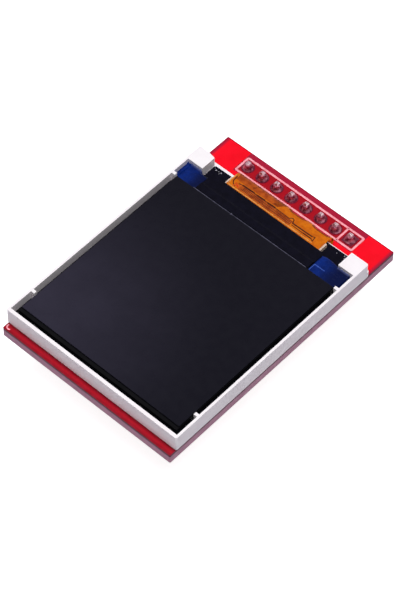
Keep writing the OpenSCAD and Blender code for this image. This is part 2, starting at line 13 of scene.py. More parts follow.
import bmesh
import bpy
import numpy as np
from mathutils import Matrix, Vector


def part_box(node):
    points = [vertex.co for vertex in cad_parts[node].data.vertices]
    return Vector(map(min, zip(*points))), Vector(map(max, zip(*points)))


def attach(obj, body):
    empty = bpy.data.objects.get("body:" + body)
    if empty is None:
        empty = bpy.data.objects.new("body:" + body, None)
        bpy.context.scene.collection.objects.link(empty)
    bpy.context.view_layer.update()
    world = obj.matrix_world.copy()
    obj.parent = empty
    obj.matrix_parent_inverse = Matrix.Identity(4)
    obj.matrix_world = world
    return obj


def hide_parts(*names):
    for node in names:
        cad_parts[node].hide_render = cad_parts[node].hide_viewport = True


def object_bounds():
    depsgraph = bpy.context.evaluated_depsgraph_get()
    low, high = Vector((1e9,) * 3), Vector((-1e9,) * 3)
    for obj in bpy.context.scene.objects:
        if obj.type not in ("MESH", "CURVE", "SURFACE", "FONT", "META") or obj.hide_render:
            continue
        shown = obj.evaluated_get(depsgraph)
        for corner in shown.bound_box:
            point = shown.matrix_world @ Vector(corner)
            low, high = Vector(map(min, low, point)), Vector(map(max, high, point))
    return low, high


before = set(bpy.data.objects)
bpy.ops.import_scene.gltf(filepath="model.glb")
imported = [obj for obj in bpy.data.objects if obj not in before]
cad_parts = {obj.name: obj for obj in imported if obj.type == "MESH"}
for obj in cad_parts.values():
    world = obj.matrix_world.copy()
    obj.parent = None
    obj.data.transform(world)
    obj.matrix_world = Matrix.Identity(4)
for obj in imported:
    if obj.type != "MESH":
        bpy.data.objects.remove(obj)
CAD_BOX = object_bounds()

MM = 0.001
LOG = logging.getLogger("display_module")
MADE: dict[str, bpy.types.Material] = {}

Colour = tuple[float, float, float]
Span = tuple[float, float]
Spot = tuple[float, float]
Place = tuple[float, float, float]
Faces = list[tuple[int, ...]]
Shell = tuple[np.ndarray, Faces]


def paint(red: int, green: int, blue: int) -> Colour:
    """Turns a display colour into the linear light that a shader takes.

    Args:
        red: Red from 0 to 255.
        green: Green from 0 to 255.
        blue: Blue from 0 to 255.

    Returns:
        The linear colour: ((c + 0.055) / 1.055) ** 2.4 for each channel c above 0.04, and c / 12.92 below it.
    """
    levels = np.array([red, green, blue]) / 255
    linear = np.where(levels > 0.04045, ((levels + 0.055) / 1.055) ** 2.4, levels / 12.92)
    return tuple(float(level) for level in linear)


class Slot(Enum):
    """Material slots of the part's record."""

    MASK = "solder_mask"
    METAL = "bare_metal"
    TAPE = "tape_black"
    GLUE = "glue_blue"
    RIBBON = "ribbon_amber"
    PAPER = "tape_white"
    SCREEN = "screen"


class Edge(Enum):
    """How round a solid's edges are, as a radius in millimetres."""

    SHARP = 0.0
    CRISP = 0.02
    EASED = 0.03
    SOFT = 0.04
    ROUND = 0.05


# ---------------------------------------------------------------- finishes


class Graph:
    """Builds a node tree in short calls."""

    def __init__(self, tree: bpy.types.NodeTree) -> None:
        """Takes the tree that the nodes go into."""
        self.tree = tree

    def node(self, kind: str, **settings: object) -> bpy.types.Node:
        """Adds a node.

        Args:
            kind: Blender's name of the node type.
            **settings: Attributes to set on it.

        Returns:
            The new node.
        """
        made = self.tree.nodes.new(kind)
        for key, value in settings.items():
            setattr(made, key, value)
        return made

    def link(self, source: bpy.types.NodeSocket, target: bpy.types.NodeSocket) -> None:
        """Joins an output, the source, to an input, the target."""
        self.tree.links.new(source, target)

    def feed(self, socket: bpy.types.NodeSocket, value: object) -> None:
        """Links a socket, or sets a plain number or colour on an input.

        Args:
            socket: The input.
            value: Another node's output, a number or a colour.
        """
        if isinstance(value, bpy.types.NodeSocket):
            self.link(value, socket)
        elif isinstance(value, tuple):
            socket.default_value = (*value, 1.0)
        else:
            socket.default_value = value

    def math(self, operation: str, *values: object) -> bpy.types.NodeSocket:
        """Adds a sum, product or other operation.

        Args:
            operation: Blender's name of the operation.
            *values: The outputs or numbers that it takes, up to three.

        Returns:
            The result.
        """
        made = self.node("ShaderNodeMath", operation=operation)
        for socket, value in zip(made.inputs, values):
            self.feed(socket, value)
        return made.outputs[0]


class Surface(Graph):
    """A material's node tree, with the object's own coordinates and a principled shader."""

    # Places of a colour Mix node's share, first colour, second colour and result among its sockets.
    MIX_INPUTS = (0, 6, 7)
    MIX_OUTPUT = 2

    def __init__(self, name: str) -> None:
        """Starts the material.

        Args:
            name: Name of the material.
        """
        self.material = bpy.data.materials.new(name)
        self.material.use_nodes = True
        super().__init__(self.material.node_tree)
        self.shader = self.tree.nodes["Principled BSDF"]
        self.place = self.node("ShaderNodeTexCoord").outputs["Object"]
        split = self.node("ShaderNodeSeparateXYZ")
        self.link(self.place, split.inputs[0])
        self.axes = dict(zip("xyz", split.outputs))

    def noise(self, size: float, detail: float = 4.0, stretch: Place = (1, 1, 1)) -> bpy.types.NodeSocket:
        """Adds soft noise.

        Args:
            size: Size of a blotch, in millimetres.
            detail: Octaves of finer noise.
            stretch: How many times longer a blotch is along each axis.

        Returns:
            A value from 0 to 1, mostly near 0.5.
        """
        mapping = self.node("ShaderNodeMapping")
        mapping.inputs["Scale"].default_value = tuple(1 / axis for axis in stretch)
        self.link(self.place, mapping.inputs["Vector"])
        noise = self.node("ShaderNodeTexNoise")
        noise.inputs["Scale"].default_value = 1 / (size * MM)
        noise.inputs["Detail"].default_value = detail
        self.link(mapping.outputs[0], noise.inputs["Vector"])
        return noise.outputs["Fac"]

    def spread(
        self, value: bpy.types.NodeSocket, source: Span, target: Span = (0, 1)
    ) -> bpy.types.NodeSocket:
        """Carries a value smoothly from one span onto another, and holds it past the ends.

        Args:
            value: The value.
            source: Span of the value.
            target: Span of the result.

        Returns:
            The result.
        """
        made = self.node("ShaderNodeMapRange", interpolation_type="SMOOTHSTEP")
        self.link(value, made.inputs[0])
        for socket, level in zip(made.inputs[1:5], (*source, *target)):
            socket.default_value = level
        return made.outputs[0]

    def within(self, axis: str, span: Span, blur: float) -> bpy.types.NodeSocket:
        """Marks a band of the object.

        Args:
            axis: x, y or z.
            span: Ends of the band, in millimetres of the part's frame.
            blur: Width of the soft edge, in millimetres.

        Returns:
            1 inside the band and 0 outside it.
        """
        low, high = span
        rise = self.spread(self.axes[axis], ((low - blur / 2) * MM, (low + blur / 2) * MM))
        fall = self.spread(self.axes[axis], ((high - blur / 2) * MM, (high + blur / 2) * MM), (1, 0))
        return self.math("MULTIPLY", rise, fall)

    def mix(self, share: object, first: object, second: object) -> bpy.types.NodeSocket:
        """Blends two colours.

        Args:
            share: Share of the second colour.
            first: An output or a colour.
            second: An output or a colour.

        Returns:
            The blended colour.
        """
        made = self.node("ShaderNodeMix", data_type="RGBA")
        for socket, value in zip(self.MIX_INPUTS, (share, first, second)):
            self.feed(made.inputs[socket], value)
        return made.outputs[self.MIX_OUTPUT]

    def relief(self, height: bpy.types.NodeSocket, depth: float) -> None:
        """Gives the shader a bump.

        Args:
            height: The relief, from 0 to 1.
            depth: Its height in millimetres.
        """
        bump = self.node("ShaderNodeBump")
        bump.inputs["Strength"].default_value = 1.0
        bump.inputs["Distance"].default_value = depth * MM
        self.link(height, bump.inputs["Height"])
        self.link(bump.outputs[0], self.shader.inputs["Normal"])


@dataclass(frozen=True)
class Finish:
    """A surface with a mottled colour, an uneven gloss, a fine relief and lighter, worn edges.

    Attributes:
        name: Name of the material.
        colour: The lighter tone.
        shade: The darker tone.
        rough: Span of the roughness.
        blotch: Size of the patches of tone and gloss, in millimetres.
        grain: Size of the relief's fine grain, in millimetres.
        depth: Height of the relief, in millimetres.
        stretch: How many times longer patches and grain are along each axis.
        metallic: Share of metal.
        specular: Strength of the plain gloss.
        coat: Share of a clear coat.
        coat_rough: Roughness of the coat.
        wear: Share of lighter tone on worn edges.
        clear: Share of light that passes through.
    """

    name: str
    colour: Colour
    shade: Colour
    rough: Span = (0.35, 0.55)
    blotch: float = 1.2
    grain: float = 0.08
    depth: float = 0.004
    stretch: Place = (1, 1, 1)
    metallic: float = 0.0
    specular: float = 0.5
    coat: float = 0.0
    coat_rough: float = 0.1
    wear: float = 0.0
    clear: float = 0.0

    def tint(self, graph: Surface) -> bpy.types.NodeSocket:
        """Works out the colour before wear: two tones that follow broad noise."""
        blotches = graph.spread(graph.noise(self.blotch, 5.0, self.stretch), (0.34, 0.66))
        return graph.mix(blotches, self.shade, self.colour)

    def height(self, graph: Surface) -> bpy.types.NodeSocket:
        """Works out the relief: six tenths of fine grain on four tenths of a swell nine times as broad.

        Args:
            graph: The material's graph.

        Returns:
            The relief, from 0 to 1.
        """
        fine = graph.noise(self.grain, 3.0, self.stretch)
        broad = graph.noise(self.grain * 9, 2.0, self.stretch)
        return graph.math("ADD", graph.math("MULTIPLY", fine, 0.6), graph.math("MULTIPLY", broad, 0.4))

    def worn(self, graph: Surface, colour: bpy.types.NodeSocket) -> bpy.types.NodeSocket:
        """Lightens the colour in patches along sharp edges.

        Args:
            graph: The material's graph.
            colour: The colour before wear.

        Returns:
            The colour after wear.
        """
        edge = graph.node("ShaderNodeNewGeometry").outputs["Pointiness"]
        patches = graph.math("MULTIPLY", graph.spread(edge, (0.52, 0.62)), graph.noise(0.3, 3.0))
        lighter = tuple(min(1.0, 1.25 * level + 0.03) for level in self.colour)
        return graph.mix(graph.math("MULTIPLY", patches, self.wear), colour, lighter)

    def build(self) -> bpy.types.Material:
        """Makes the material, or finds it if it is made already.

        Returns:
            The material.
        """
        if self.name in MADE:
            return MADE[self.name]
        graph = Surface(self.name)
        shader = graph.shader
        colour = self.tint(graph)
        if self.wear:
            colour = self.worn(graph, colour)
        graph.link(colour, shader.inputs["Base Color"])
        patches = graph.noise(self.blotch * 0.45, 4.0, self.stretch)
        graph.link(graph.spread(patches, (0.3, 0.7), self.rough), shader.inputs["Roughness"])
        shader.inputs["Metallic"].default_value = self.metallic
        shader.inputs["Specular IOR Level"].default_value = self.specular
        shader.inputs["Coat Weight"].default_value = self.coat
        shader.inputs["Coat Roughness"].default_value = self.coat_rough
        shader.inputs["Transmission Weight"].default_value = self.clear
        graph.relief(self.height(graph), self.depth)
        MADE[self.name] = graph.material
        return graph.material


@dataclass(frozen=True)
class MaskFinish(Finish):
    """Red solder mask on both faces of a board, over copper or bare laminate, and laminate at the edge.

    Over copper the mask looks bright, and over laminate it looks deep. The edge shows the laminate's plies,
    with a band of painted shadow along its top.

    Attributes:
        laminate: Lighter tone of the cut edge.
        ply: Darker tone of the cut edge.
        edge_shadow: Painted shadow of the frame's overhang: a dark line along the top of the cut edge.
        deep: Mask over bare laminate.
        row: Mask over laminate along the row of pins.
        strip: Lighter middle band of the mask in front of the frame; the deep tone that stays at its rear
            edge, along the frame, stands in for painted shade as well as mask over laminate.
        rim: Mask along the edges of the copper, and the weave that shows through.
        halo: Ring of flux residue round a pin.
        halo_reach: Distances from a pin at which the stain begins and ends to fade.
        routed: Bared line along the board's outline.
        masked_x: Span of the mask along X.
        masked_y: Span of the mask along Y.
        pitch: Spacing of the pins.
        keep_out_x: Span along X where the copper keeps clear of the pins.
        keep_out_y: Span along Y where it does.
        row_y: Span of the row's own tone.
        pour_x: Span of the copper along X.
        pour_y: Span of the copper along Y.
        strip_y: Span of the front strip's own tone.
        faces_z: Heights between which the board shows its cut edge.
        edge_shadow_z: Heights of the painted shadow.
    """

    laminate: Colour = paint(204, 148, 172)
    ply: Colour = paint(174, 126, 148)
    # Painted shadow of the frame's overhang, along the top of the cut edge.
    edge_shadow: Colour = paint(92, 40, 60)
    deep: Colour = paint(138, 10, 26)
    row: Colour = paint(168, 12, 30)
    strip: Colour = paint(172, 16, 34)
    rim: Colour = paint(172, 26, 56)
    halo: Colour = paint(112, 16, 44)
    halo_reach: Span = (0.85, 1.02)
    routed: Colour = paint(142, 22, 50)
    masked_x: Span = (-14.36, 14.36)
    masked_y: Span = (-40.6, 2.15)
    pitch: float = 2.54
    keep_out_x: Span = (-10.2, 10.3)
    keep_out_y: Span = (-1.5, 2.6)
    row_y: Span = (-1.3, 1.3)
    pour_x: Span = (-13.95, 14.05)
    pour_y: Span = (-6.5, 3.0)
    strip_y: Span = (-40.12, -39.7)
    faces_z: Span = (2.61, 4.17)
    edge_shadow_z: Span = (3.8, 4.2)

    def tint(self, graph: Surface) -> bpy.types.NodeSocket:
        """Works out the colour by zone: pour, keep-out round the pins, bare laminate, and cut edge.

        Args:
            graph: The material's graph.

        Returns:
            The colour.
        """
        blotches = graph.spread(graph.noise(self.blotch, 5.0), (0.3, 0.7))
        bright = graph.mix(blotches, self.shade, self.colour)
        weave = graph.spread(graph.noise(0.35, 2.0, (3.0, 1.0, 1.0)), (0.3, 0.7))
        deep = graph.mix(graph.math("MULTIPLY", weave, 0.35), self.deep, self.rim)
        keep_out = graph.math(
            "MULTIPLY", graph.within("x", self.keep_out_x, 0.15), graph.within("y", self.keep_out_y, 0.15)
        )
        row = graph.within("y", self.row_y, 0.1)
        bare = graph.mix(self.beside_pin(graph), graph.mix(row, self.rim, self.row), self.halo)
        pour = graph.math(
            "MULTIPLY", graph.within("x", self.pour_x, 0.5), graph.within("y", self.pour_y, 0.2)
        )
        # Behind the strip, along the frame, the deep tone is partly painted shade under the frame.
        deep = graph.mix(graph.within("y", self.strip_y, 0.3), deep, self.strip)
        deep = graph.mix(graph.within("y", self.pour_y, 0.2), deep, self.rim)
        face = graph.mix(graph.math("MULTIPLY", pour, graph.math("SUBTRACT", 1.0, keep_out)), deep, bright)
        face = graph.mix(keep_out, face, bare)
        inside = graph.math(
            "MULTIPLY", graph.within("x", self.masked_x, 0.04), graph.within("y", self.masked_y, 0.04)
        )
        face = graph.mix(inside, self.routed, face)
        plies = graph.spread(graph.noise(0.09, 3.0, (14.0, 14.0, 1.0)), (0.35, 0.65))
        edge = graph.mix(plies, self.ply, self.laminate)
        # A dark band at the top of the cut edge: painted shadow of the frame's overhang.
        edge = graph.mix(graph.within("z", self.edge_shadow_z, 0.06), edge, self.edge_shadow)
        return graph.mix(graph.within("z", self.faces_z, 0.02), face, edge)

    def beside_pin(self, graph: Surface) -> bpy.types.NodeSocket:
        """Marks the rings of flux residue round the pins.

        The place along X is folded at each half pitch, which gives the distance from the nearest pin along
        the row.

        Args:
            graph: The material's graph.

        Returns:
            1 at the pads and 0 past the rings.
        """
        half = self.pitch / 2 * MM
        aside = graph.math("SUBTRACT", half, graph.math("PINGPONG", graph.axes["x"], half))
        away = graph.axes["y"]
        square = graph.math("ADD", graph.math("POWER", aside, 2.0), graph.math("MULTIPLY", away, away))
        near, far = self.halo_reach
        return graph.spread(graph.math("SQRT", square), (near * MM, far * MM), (1, 0))


@dataclass(frozen=True)
class PaintedReflectionFinish(Finish):
    """Plated metal with a painted reflection above a set height: on the pads the red board and a dark room,
    on the pins a pale highlight.

    Attributes:
        reflection: Lighter tone of the painted reflection.
        deep_reflection: Darker tone of the painted reflection.
        reflected_above: Height above which the painted reflection lies, in millimetres.
    """

    # Painted reflection: by default the purple of the red board and a dark room mirrored in the pads.
    reflection: Colour = paint(132, 44, 72)
    deep_reflection: Colour = paint(106, 22, 48)
    reflected_above: float = 3.4

    def tint(self, graph: Surface) -> bpy.types.NodeSocket:
        """Works out the colour by height: painted reflection above, plain tin below.

        Args:
            graph: The material's graph.

        Returns:
            The colour.
        """
        patches = graph.spread(graph.noise(0.3, 4.0), (0.4, 0.62))
        reflected = graph.mix(patches, self.deep_reflection, self.reflection)
        level = self.reflected_above * MM
        above = graph.spread(graph.axes["z"], (level, level + MM / 10))
        return graph.mix(above, super().tint(graph), reflected)


@dataclass(frozen=True)
class GlueFinish(Finish):
    """Blue glue: each patch deepens from its left to its right, and pales where it climbs a post. The right
    patch's deepening by the wall is painted shade in the gap, and the pale climb is a painted highlight.

    Attributes:
        dark: The deepest tone.
        pale: The tone where the glue climbs a post: a painted highlight where it catches light.
        left_x: Span along X over which the left patch deepens.
        right_x: Span along X over which the right patch deepens towards the wall, as painted shade in the gap
            beside it.
        climb_z: Heights over which both take that painted highlight.
    """

    dark: Colour = paint(7, 18, 62)
    pale: Colour = paint(84, 92, 142)
    left_x: Span = (-13.3, -10.9)
    right_x: Span = (9.6, 12.4)
    climb_z: Span = (6.26, 6.5)

    def tint(self, graph: Surface) -> bpy.types.NodeSocket:
        """Works out the colour from the place across the part and the height.

        Args:
            graph: The material's graph.

        Returns:
            The colour.
        """
        across = graph.axes["x"]
        deeper = graph.spread(across, tuple(x * MM for x in self.left_x))
        left = graph.math("MULTIPLY", deeper, graph.math("LESS_THAN", across, 0.0))
        # Towards the wall the right patch darkens: painted shade in the gap.
        right = graph.spread(across, tuple(x * MM for x in self.right_x))
        blue = graph.mix(graph.math("MAXIMUM", left, right), super().tint(graph), self.dark)
        # High on the climb the glue pales: a painted highlight.
        return graph.mix(graph.spread(graph.axes["z"], tuple(z * MM for z in self.climb_z)), blue, self.pale)


@dataclass(frozen=True)
class ScreenFinish(Finish):
    """A polarizer's satin face: near black, with a painted reflection that makes it a little lighter and
    bluer towards the front left corner.

    Attributes:
        lit: Tone of the painted reflection at the lit corner.
        lit_corner: Place of that corner, in millimetres.
        fade: Distance at which the tone is gone, in millimetres.
    """

    lit: Colour = paint(50, 47, 62)
    lit_corner: Place = (-14.0, -38.0, 0.0)
    fade: float = 29.0

    def tint(self, graph: Surface) -> bpy.types.NodeSocket:
        """Works out the colour from the distance to the lit corner, where the painted reflection is
        strongest, with faint cloudiness.

        Args:
            graph: The material's graph.

        Returns:
            The colour.
        """
        gap = graph.node("ShaderNodeVectorMath", operation="DISTANCE")
        graph.link(graph.place, gap.inputs[0])
        gap.inputs[1].default_value = tuple(axis * MM for axis in self.lit_corner)
        # The painted reflection fades with the distance from the lit corner.
        near = graph.spread(gap.outputs["Value"], (0.0, self.fade * MM), (1, 0))
        cloud = graph.spread(graph.noise(6.0, 3.0), (0.3, 0.7), (0.9, 1.1))
        return graph.mix(graph.math("MULTIPLY", near, cloud), self.shade, self.lit)


MASK = MaskFinish(
    "mask", paint(255, 12, 38), paint(246, 8, 32),
    rough=(0.3, 0.45), blotch=2.5, grain=0.25, depth=0.003, specular=0.12,
)
TRACE = Finish(
    "mask_over_trace", paint(220, 14, 38), paint(204, 10, 32),
    rough=(0.3, 0.45), blotch=1.0, grain=0.2, depth=0.003, specular=0.15,
)
INK = Finish(
    "legend_ink", paint(255, 178, 190), paint(250, 152, 166),
    rough=(0.5, 0.7), blotch=0.5, grain=0.05, depth=0.004, specular=0.2,
)
# Above the board the pads take a painted reflection of the red board and a dark room.
PADS = PaintedReflectionFinish(
    "soldered_pad", paint(206, 186, 192), paint(168, 140, 150),
    rough=(0.3, 0.5), blotch=0.35, grain=0.06, depth=0.004, metallic=0.7,
)
TIN = Finish(
    "tinned_copper", paint(206, 186, 192), paint(168, 140, 150),
    rough=(0.25, 0.45), blotch=0.35, grain=0.06, depth=0.003, metallic=1.0,
)
# Above the board the pins take a pale painted highlight, brightest on their tips.
PIN = PaintedReflectionFinish(
    "plated_pin", paint(226, 212, 196), paint(190, 172, 158),
    rough=(0.2, 0.38), blotch=0.5, grain=0.05, depth=0.002, stretch=(1, 1, 6),
    metallic=1.0, wear=0.5, reflection=paint(255, 222, 232), deep_reflection=paint(216, 164, 180),
)
# The solder's purple tones are a painted reflection of the red board and a dark room, not the colour of
# solder.
SOLDER = Finish(
    "solder", paint(204, 142, 160), paint(110, 42, 68),
    rough=(0.32, 0.55), blotch=0.5, grain=0.12, depth=0.012, metallic=1.0,
)
FILLET = Finish(
    "solder_fillet", paint(196, 186, 192), paint(148, 136, 146),
    rough=(0.2, 0.42), blotch=0.3, grain=0.09, depth=0.008, metallic=1.0,
)
WHITE = Finish(
    "moulded_white", paint(255, 249, 254), paint(252, 244, 250),
    rough=(0.4, 0.6), blotch=1.6, grain=0.07, depth=0.003, specular=0.25, wear=0.5,
)
BLACK = Finish(
    "moulded_black", paint(30, 30, 33), paint(22, 22, 25),
    rough=(0.42, 0.6), blotch=0.8, grain=0.06, depth=0.005, wear=0.5,
)
SCREEN = ScreenFinish(
    "polarizer", paint(20, 19, 29), paint(18, 17, 27),
    rough=(0.25, 0.34), blotch=3.0, grain=0.12, depth=0.0004, specular=0.1,
)
GLASS = Finish(
    "dark_glass", paint(12, 11, 15), paint(8, 8, 11),
    rough=(0.1, 0.2), blotch=2.0, grain=0.3, depth=0.0004, specular=0.12,
)
LEDGE = Finish(
    "ledge_glass", paint(24, 26, 36), paint(16, 18, 26),
    rough=(0.1, 0.2), blotch=2.0, grain=0.3, depth=0.0004, specular=0.2,
)
EDGE = Finish(
    "film_edge", paint(84, 82, 102), paint(50, 49, 64),
    rough=(0.3, 0.5), blotch=0.5, grain=0.06, depth=0.002, specular=0.3,
)
TAPE = Finish(
    "black_tape", paint(14, 13, 26), paint(10, 9, 20),
    rough=(0.45, 0.6), blotch=0.9, grain=0.12, depth=0.003, specular=0.04,
)
FOAM = Finish(
    "black_foam", paint(22, 21, 24), paint(12, 12, 14),
    rough=(0.7, 0.9), blotch=0.3, grain=0.05, depth=0.02, specular=0.1,
)
STICKY = Finish(
    "mounting_tape_side", paint(222, 214, 206), paint(204, 194, 186),
    rough=(0.5, 0.7), blotch=0.6, grain=0.06, depth=0.01,
)
GLUE = GlueFinish(
    "glue", paint(10, 40, 120), paint(7, 31, 98),
    rough=(0.18, 0.3), blotch=0.9, grain=0.2, depth=0.006, specular=0.1,
)
GLUE_MARK = Finish(
    "glass_mark", paint(62, 92, 176), paint(46, 74, 156),
    rough=(0.2, 0.4), blotch=0.4, grain=0.1, depth=0.002, specular=0.2,
)
# Pale specks that stand for glints on the bar's tape.
GLINT = Finish(
    "glint_speck", paint(184, 182, 192), paint(112, 112, 120),
    rough=(0.4, 0.6), blotch=0.35, grain=0.04, depth=0.01,
)
PAD = Finish(
    "support_paper", paint(226, 204, 190), paint(208, 182, 164),
    rough=(0.6, 0.8), blotch=0.3, grain=0.04, depth=0.012,
)
AMBER = Finish(
    "amber_film", paint(216, 114, 6), paint(196, 94, 4),
    rough=(0.25, 0.4), blotch=0.8, grain=0.1, depth=0.003, specular=0.2,
)
# The rim's pale colour is partly a painted highlight of the film's edge.
AMBER_RIM = Finish(
    "amber_rim", paint(226, 158, 86), paint(206, 132, 56),
    rough=(0.25, 0.4), blotch=0.4, grain=0.1, depth=0.003, specular=0.3,
)
COPPER = Finish(
    "film_over_copper", paint(190, 88, 26), paint(150, 60, 16),
    rough=(0.25, 0.4), blotch=0.9, grain=0.08, depth=0.004, specular=0.15,
)
# Also the dark line along the fold, which is painted shade.
LINE = Finish(
    "film_over_trace_and_shade", paint(84, 28, 4), paint(60, 16, 2),
    rough=(0.25, 0.4), blotch=0.3, grain=0.06, depth=0.003, specular=0.2,
)
# Also the dark lines at the slots' edges, which are painted shadow.
UMBER = Finish(
    "film_over_ground_and_shade", paint(150, 66, 10), paint(122, 48, 8),
    rough=(0.25, 0.4), blotch=0.5, grain=0.08, depth=0.004, specular=0.15,
)
EMBER = Finish(
    "film_over_pad", paint(216, 80, 18), paint(194, 60, 10),
    rough=(0.25, 0.4), blotch=0.3, grain=0.06, depth=0.003, specular=0.2,
)
FILM = Finish(
    "clear_film", paint(226, 230, 236), paint(212, 218, 226),
    rough=(0.2, 0.34), blotch=2.0, grain=0.1, depth=0.001, clear=0.3,
)
LAMP = Finish(
    "led_body", paint(240, 226, 150), paint(232, 214, 120),
    rough=(0.3, 0.5), blotch=0.5, grain=0.08, depth=0.004,
)
CERAMIC = Finish(
    "ceramic_body", paint(150, 122, 92), paint(132, 104, 76),
    rough=(0.5, 0.7), blotch=0.3, grain=0.05, depth=0.006, wear=0.4,
)
RESISTIVE = Finish(
    "resistor_glaze", paint(32, 32, 36), paint(20, 20, 24),
    rough=(0.2, 0.36), blotch=0.4, grain=0.06, depth=0.003, coat=0.3,
)


# ---------------------------------------------------------------- meshes


def corner(name: str, high: bool) -> np.ndarray:
    """Gives a corner of a node's box.

    Args:
        name: The node.
        high: True for the highest corner, False for the lowest.

    Returns:
        The corner, in millimetres.
    """
    return np.array(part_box(name)[int(high)]) / MM


# The board's front left corner on its upper face, from which places on its plan are counted.
ORIGIN = np.append(corner("board", False)[:2], corner("board", True)[2])
UNDERSIDE = corner("board", False)[2]


def add_piece(
    name: str,
    points: np.ndarray,
    faces: Faces,
    finish: Finish,
    slot: Slot,
    crease: float = 38.0,
) -> bpy.types.Object:
    """Makes a piece from points in millimetres and hangs it on the part's body.

    Args:
        name: Name of the piece.
        points: Corner points in the part's frame, in millimetres, one row each.
        faces: Faces as runs of point numbers.
        finish: Its finish.
        slot: The record's slot that it belongs to; not used.
        crease: Angle in degrees past which an edge stays sharp.

    Returns:
        The piece.
    """
    mesh = bpy.data.meshes.new(name)
    mesh.from_pydata((np.asarray(points, float) * MM).tolist(), [], faces)
    work = bmesh.new()
    work.from_mesh(mesh)
    bmesh.ops.recalc_face_normals(work, faces=work.faces)
    work.to_mesh(mesh)
    work.free()
    mesh.shade_smooth()
    mesh.set_sharp_from_angle(angle=math.radians(crease))
    mesh.materials.append(finish.build())
    piece = bpy.data.objects.new(name, mesh)
    bpy.context.scene.collection.objects.link(piece)
    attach(piece, "root")
    LOG.info("%s: %d points, %d faces, %s", name, len(mesh.vertices), len(mesh.polygons), finish.name)
    return piece


def grid_faces(rows: int, columns: int, closed: bool) -> np.ndarray:
    """Lists the quads of a grid of points.

    Args:
        rows: Number of rows.
        columns: Number of columns.
        closed: True where the last column joins the first.

    Returns:
        One quad a row: (i, j), (i, j + 1), (i + 1, j + 1), (i + 1, j), as point numbers.
    """
    row, column = grid(np.arange(rows - 1), np.arange(columns if closed else columns - 1))
    here, above = row * columns, (row + 1) * columns
    beside = (column + 1) % columns
    quads = [here + column, here + beside, above + beside, above + column]
    return np.stack(quads, -1).reshape(-1, 4)


def loft(rings: np.ndarray, looped: bool = False) -> Shell:
    """Skins a run of closed rings, and caps the first and the last.

    Args:
        rings: Points as (ring, point of the ring, axis).
        looped: True where the last ring joins the first, so that there are no caps.

    Returns:
        The points and the faces.
    """
    count, around = rings.shape[:2]
    if looped:
        rings = np.concatenate([rings, rings[:1]])
    faces = [tuple(quad) for quad in grid_faces(len(rings), around, True).tolist()]
    points = rings.reshape(-1, 3)
    if looped:
        faces = [tuple(index % (count * around) for index in quad) for quad in faces]
        return points[: count * around], faces
    last = (count - 1) * around
    faces.append(tuple(range(around)))
    faces.append(tuple(range(last, last + around)))
    return points, faces


def join(parts: list[Shell]) -> Shell:
    """Puts several meshes into one.

    Args:
        parts: Points and faces of each.

    Returns:
        All the points, and the faces with their point numbers moved on.
    """
    points, faces, start = [], [], 0
    for part_points, part_faces in parts:
        points.append(part_points)
        faces.extend(tuple(index + start for index in face) for face in part_faces)
        start += len(part_points)
    return np.concatenate(points), faces


def ribbon_of(path: np.ndarray, width: float, height: float, closed: bool = False) -> np.ndarray:
    """Lays a low, round-shouldered line along a flat path.

    At each point the line's side is the mean of the normals of the two stretches that meet there, lengthened
    by one over the cosine of half their angle, so that its width holds round a corner.

    Args:
        path: Points as (point, axis), with two axes.
        width: Width of the line.
        height: Height of the line.
        closed: True where the path is a loop.

    Returns:
        Rings as (point, corner of the section, axis), with the height as the third axis.
    """
    step = np.roll(path, -1, 0) - path
    step = step / np.maximum(np.linalg.norm(step, axis=1, keepdims=True), 1e-9)
    if not closed:
        step[-1] = step[-2]
    before = np.roll(step, 1, 0)
    if not closed:
        before[0] = step[0]
    side = np.stack([-step[:, 1] - before[:, 1], step[:, 0] + before[:, 0]], 1)
    side = side / np.maximum((side**2).sum(1, keepdims=True) / 2, 0.4)
    across = np.array([-0.5, -0.46, -0.36, 0.36, 0.46, 0.5]) * width
    up = np.array([0.0, 0.6, 1.0, 1.0, 0.6, 0.0]) * height
    flat = path[:, None, :] + side[:, None, :] * across[None, :, None]
    return np.concatenate([flat, np.broadcast_to(up[None, :, None], (len(path), len(up), 1))], -1)


def circle(count: int) -> np.ndarray:
    """Gives evenly spaced angles of a full turn, in radians.

    Args:
        count: Number of angles.

    Returns:
        The angles, from 0 on.
    """
    return np.linspace(0, 2 * math.pi, count, False)


def ring_at(centre: np.ndarray, radius: float, count: int) -> np.ndarray:
    """Places points evenly on a circle: the centre plus the radius times the cosine and sine of each angle.

    Args:
        centre: Its centre, with two axes.
        radius: Its radius.
        count: Number of points.

    Returns:
        Points as (point, axis).
    """
    angles = circle(count)
    return centre + radius * np.stack([np.cos(angles), np.sin(angles)], 1)


def grid(across: np.ndarray, along: np.ndarray) -> list[np.ndarray]:
    """Crosses two runs of stations.

    Args:
        across: Stations of the rows.
        along: Stations of the columns.

    Returns:
        The row's station and the column's station at each point, as (row, column).
    """
    return np.meshgrid(across, along, indexing="ij")


def sandwich(top: np.ndarray, under: np.ndarray) -> Shell:
    """Closes the space between two grids of points: row by row, the lower one is read backwards.

    Args:
        top: Upper points as (row, column, axis).
        under: Lower points in the same order.

    Returns:
        The points and the faces.
    """
    return loft(np.concatenate([top, under[:, ::-1]], 1))


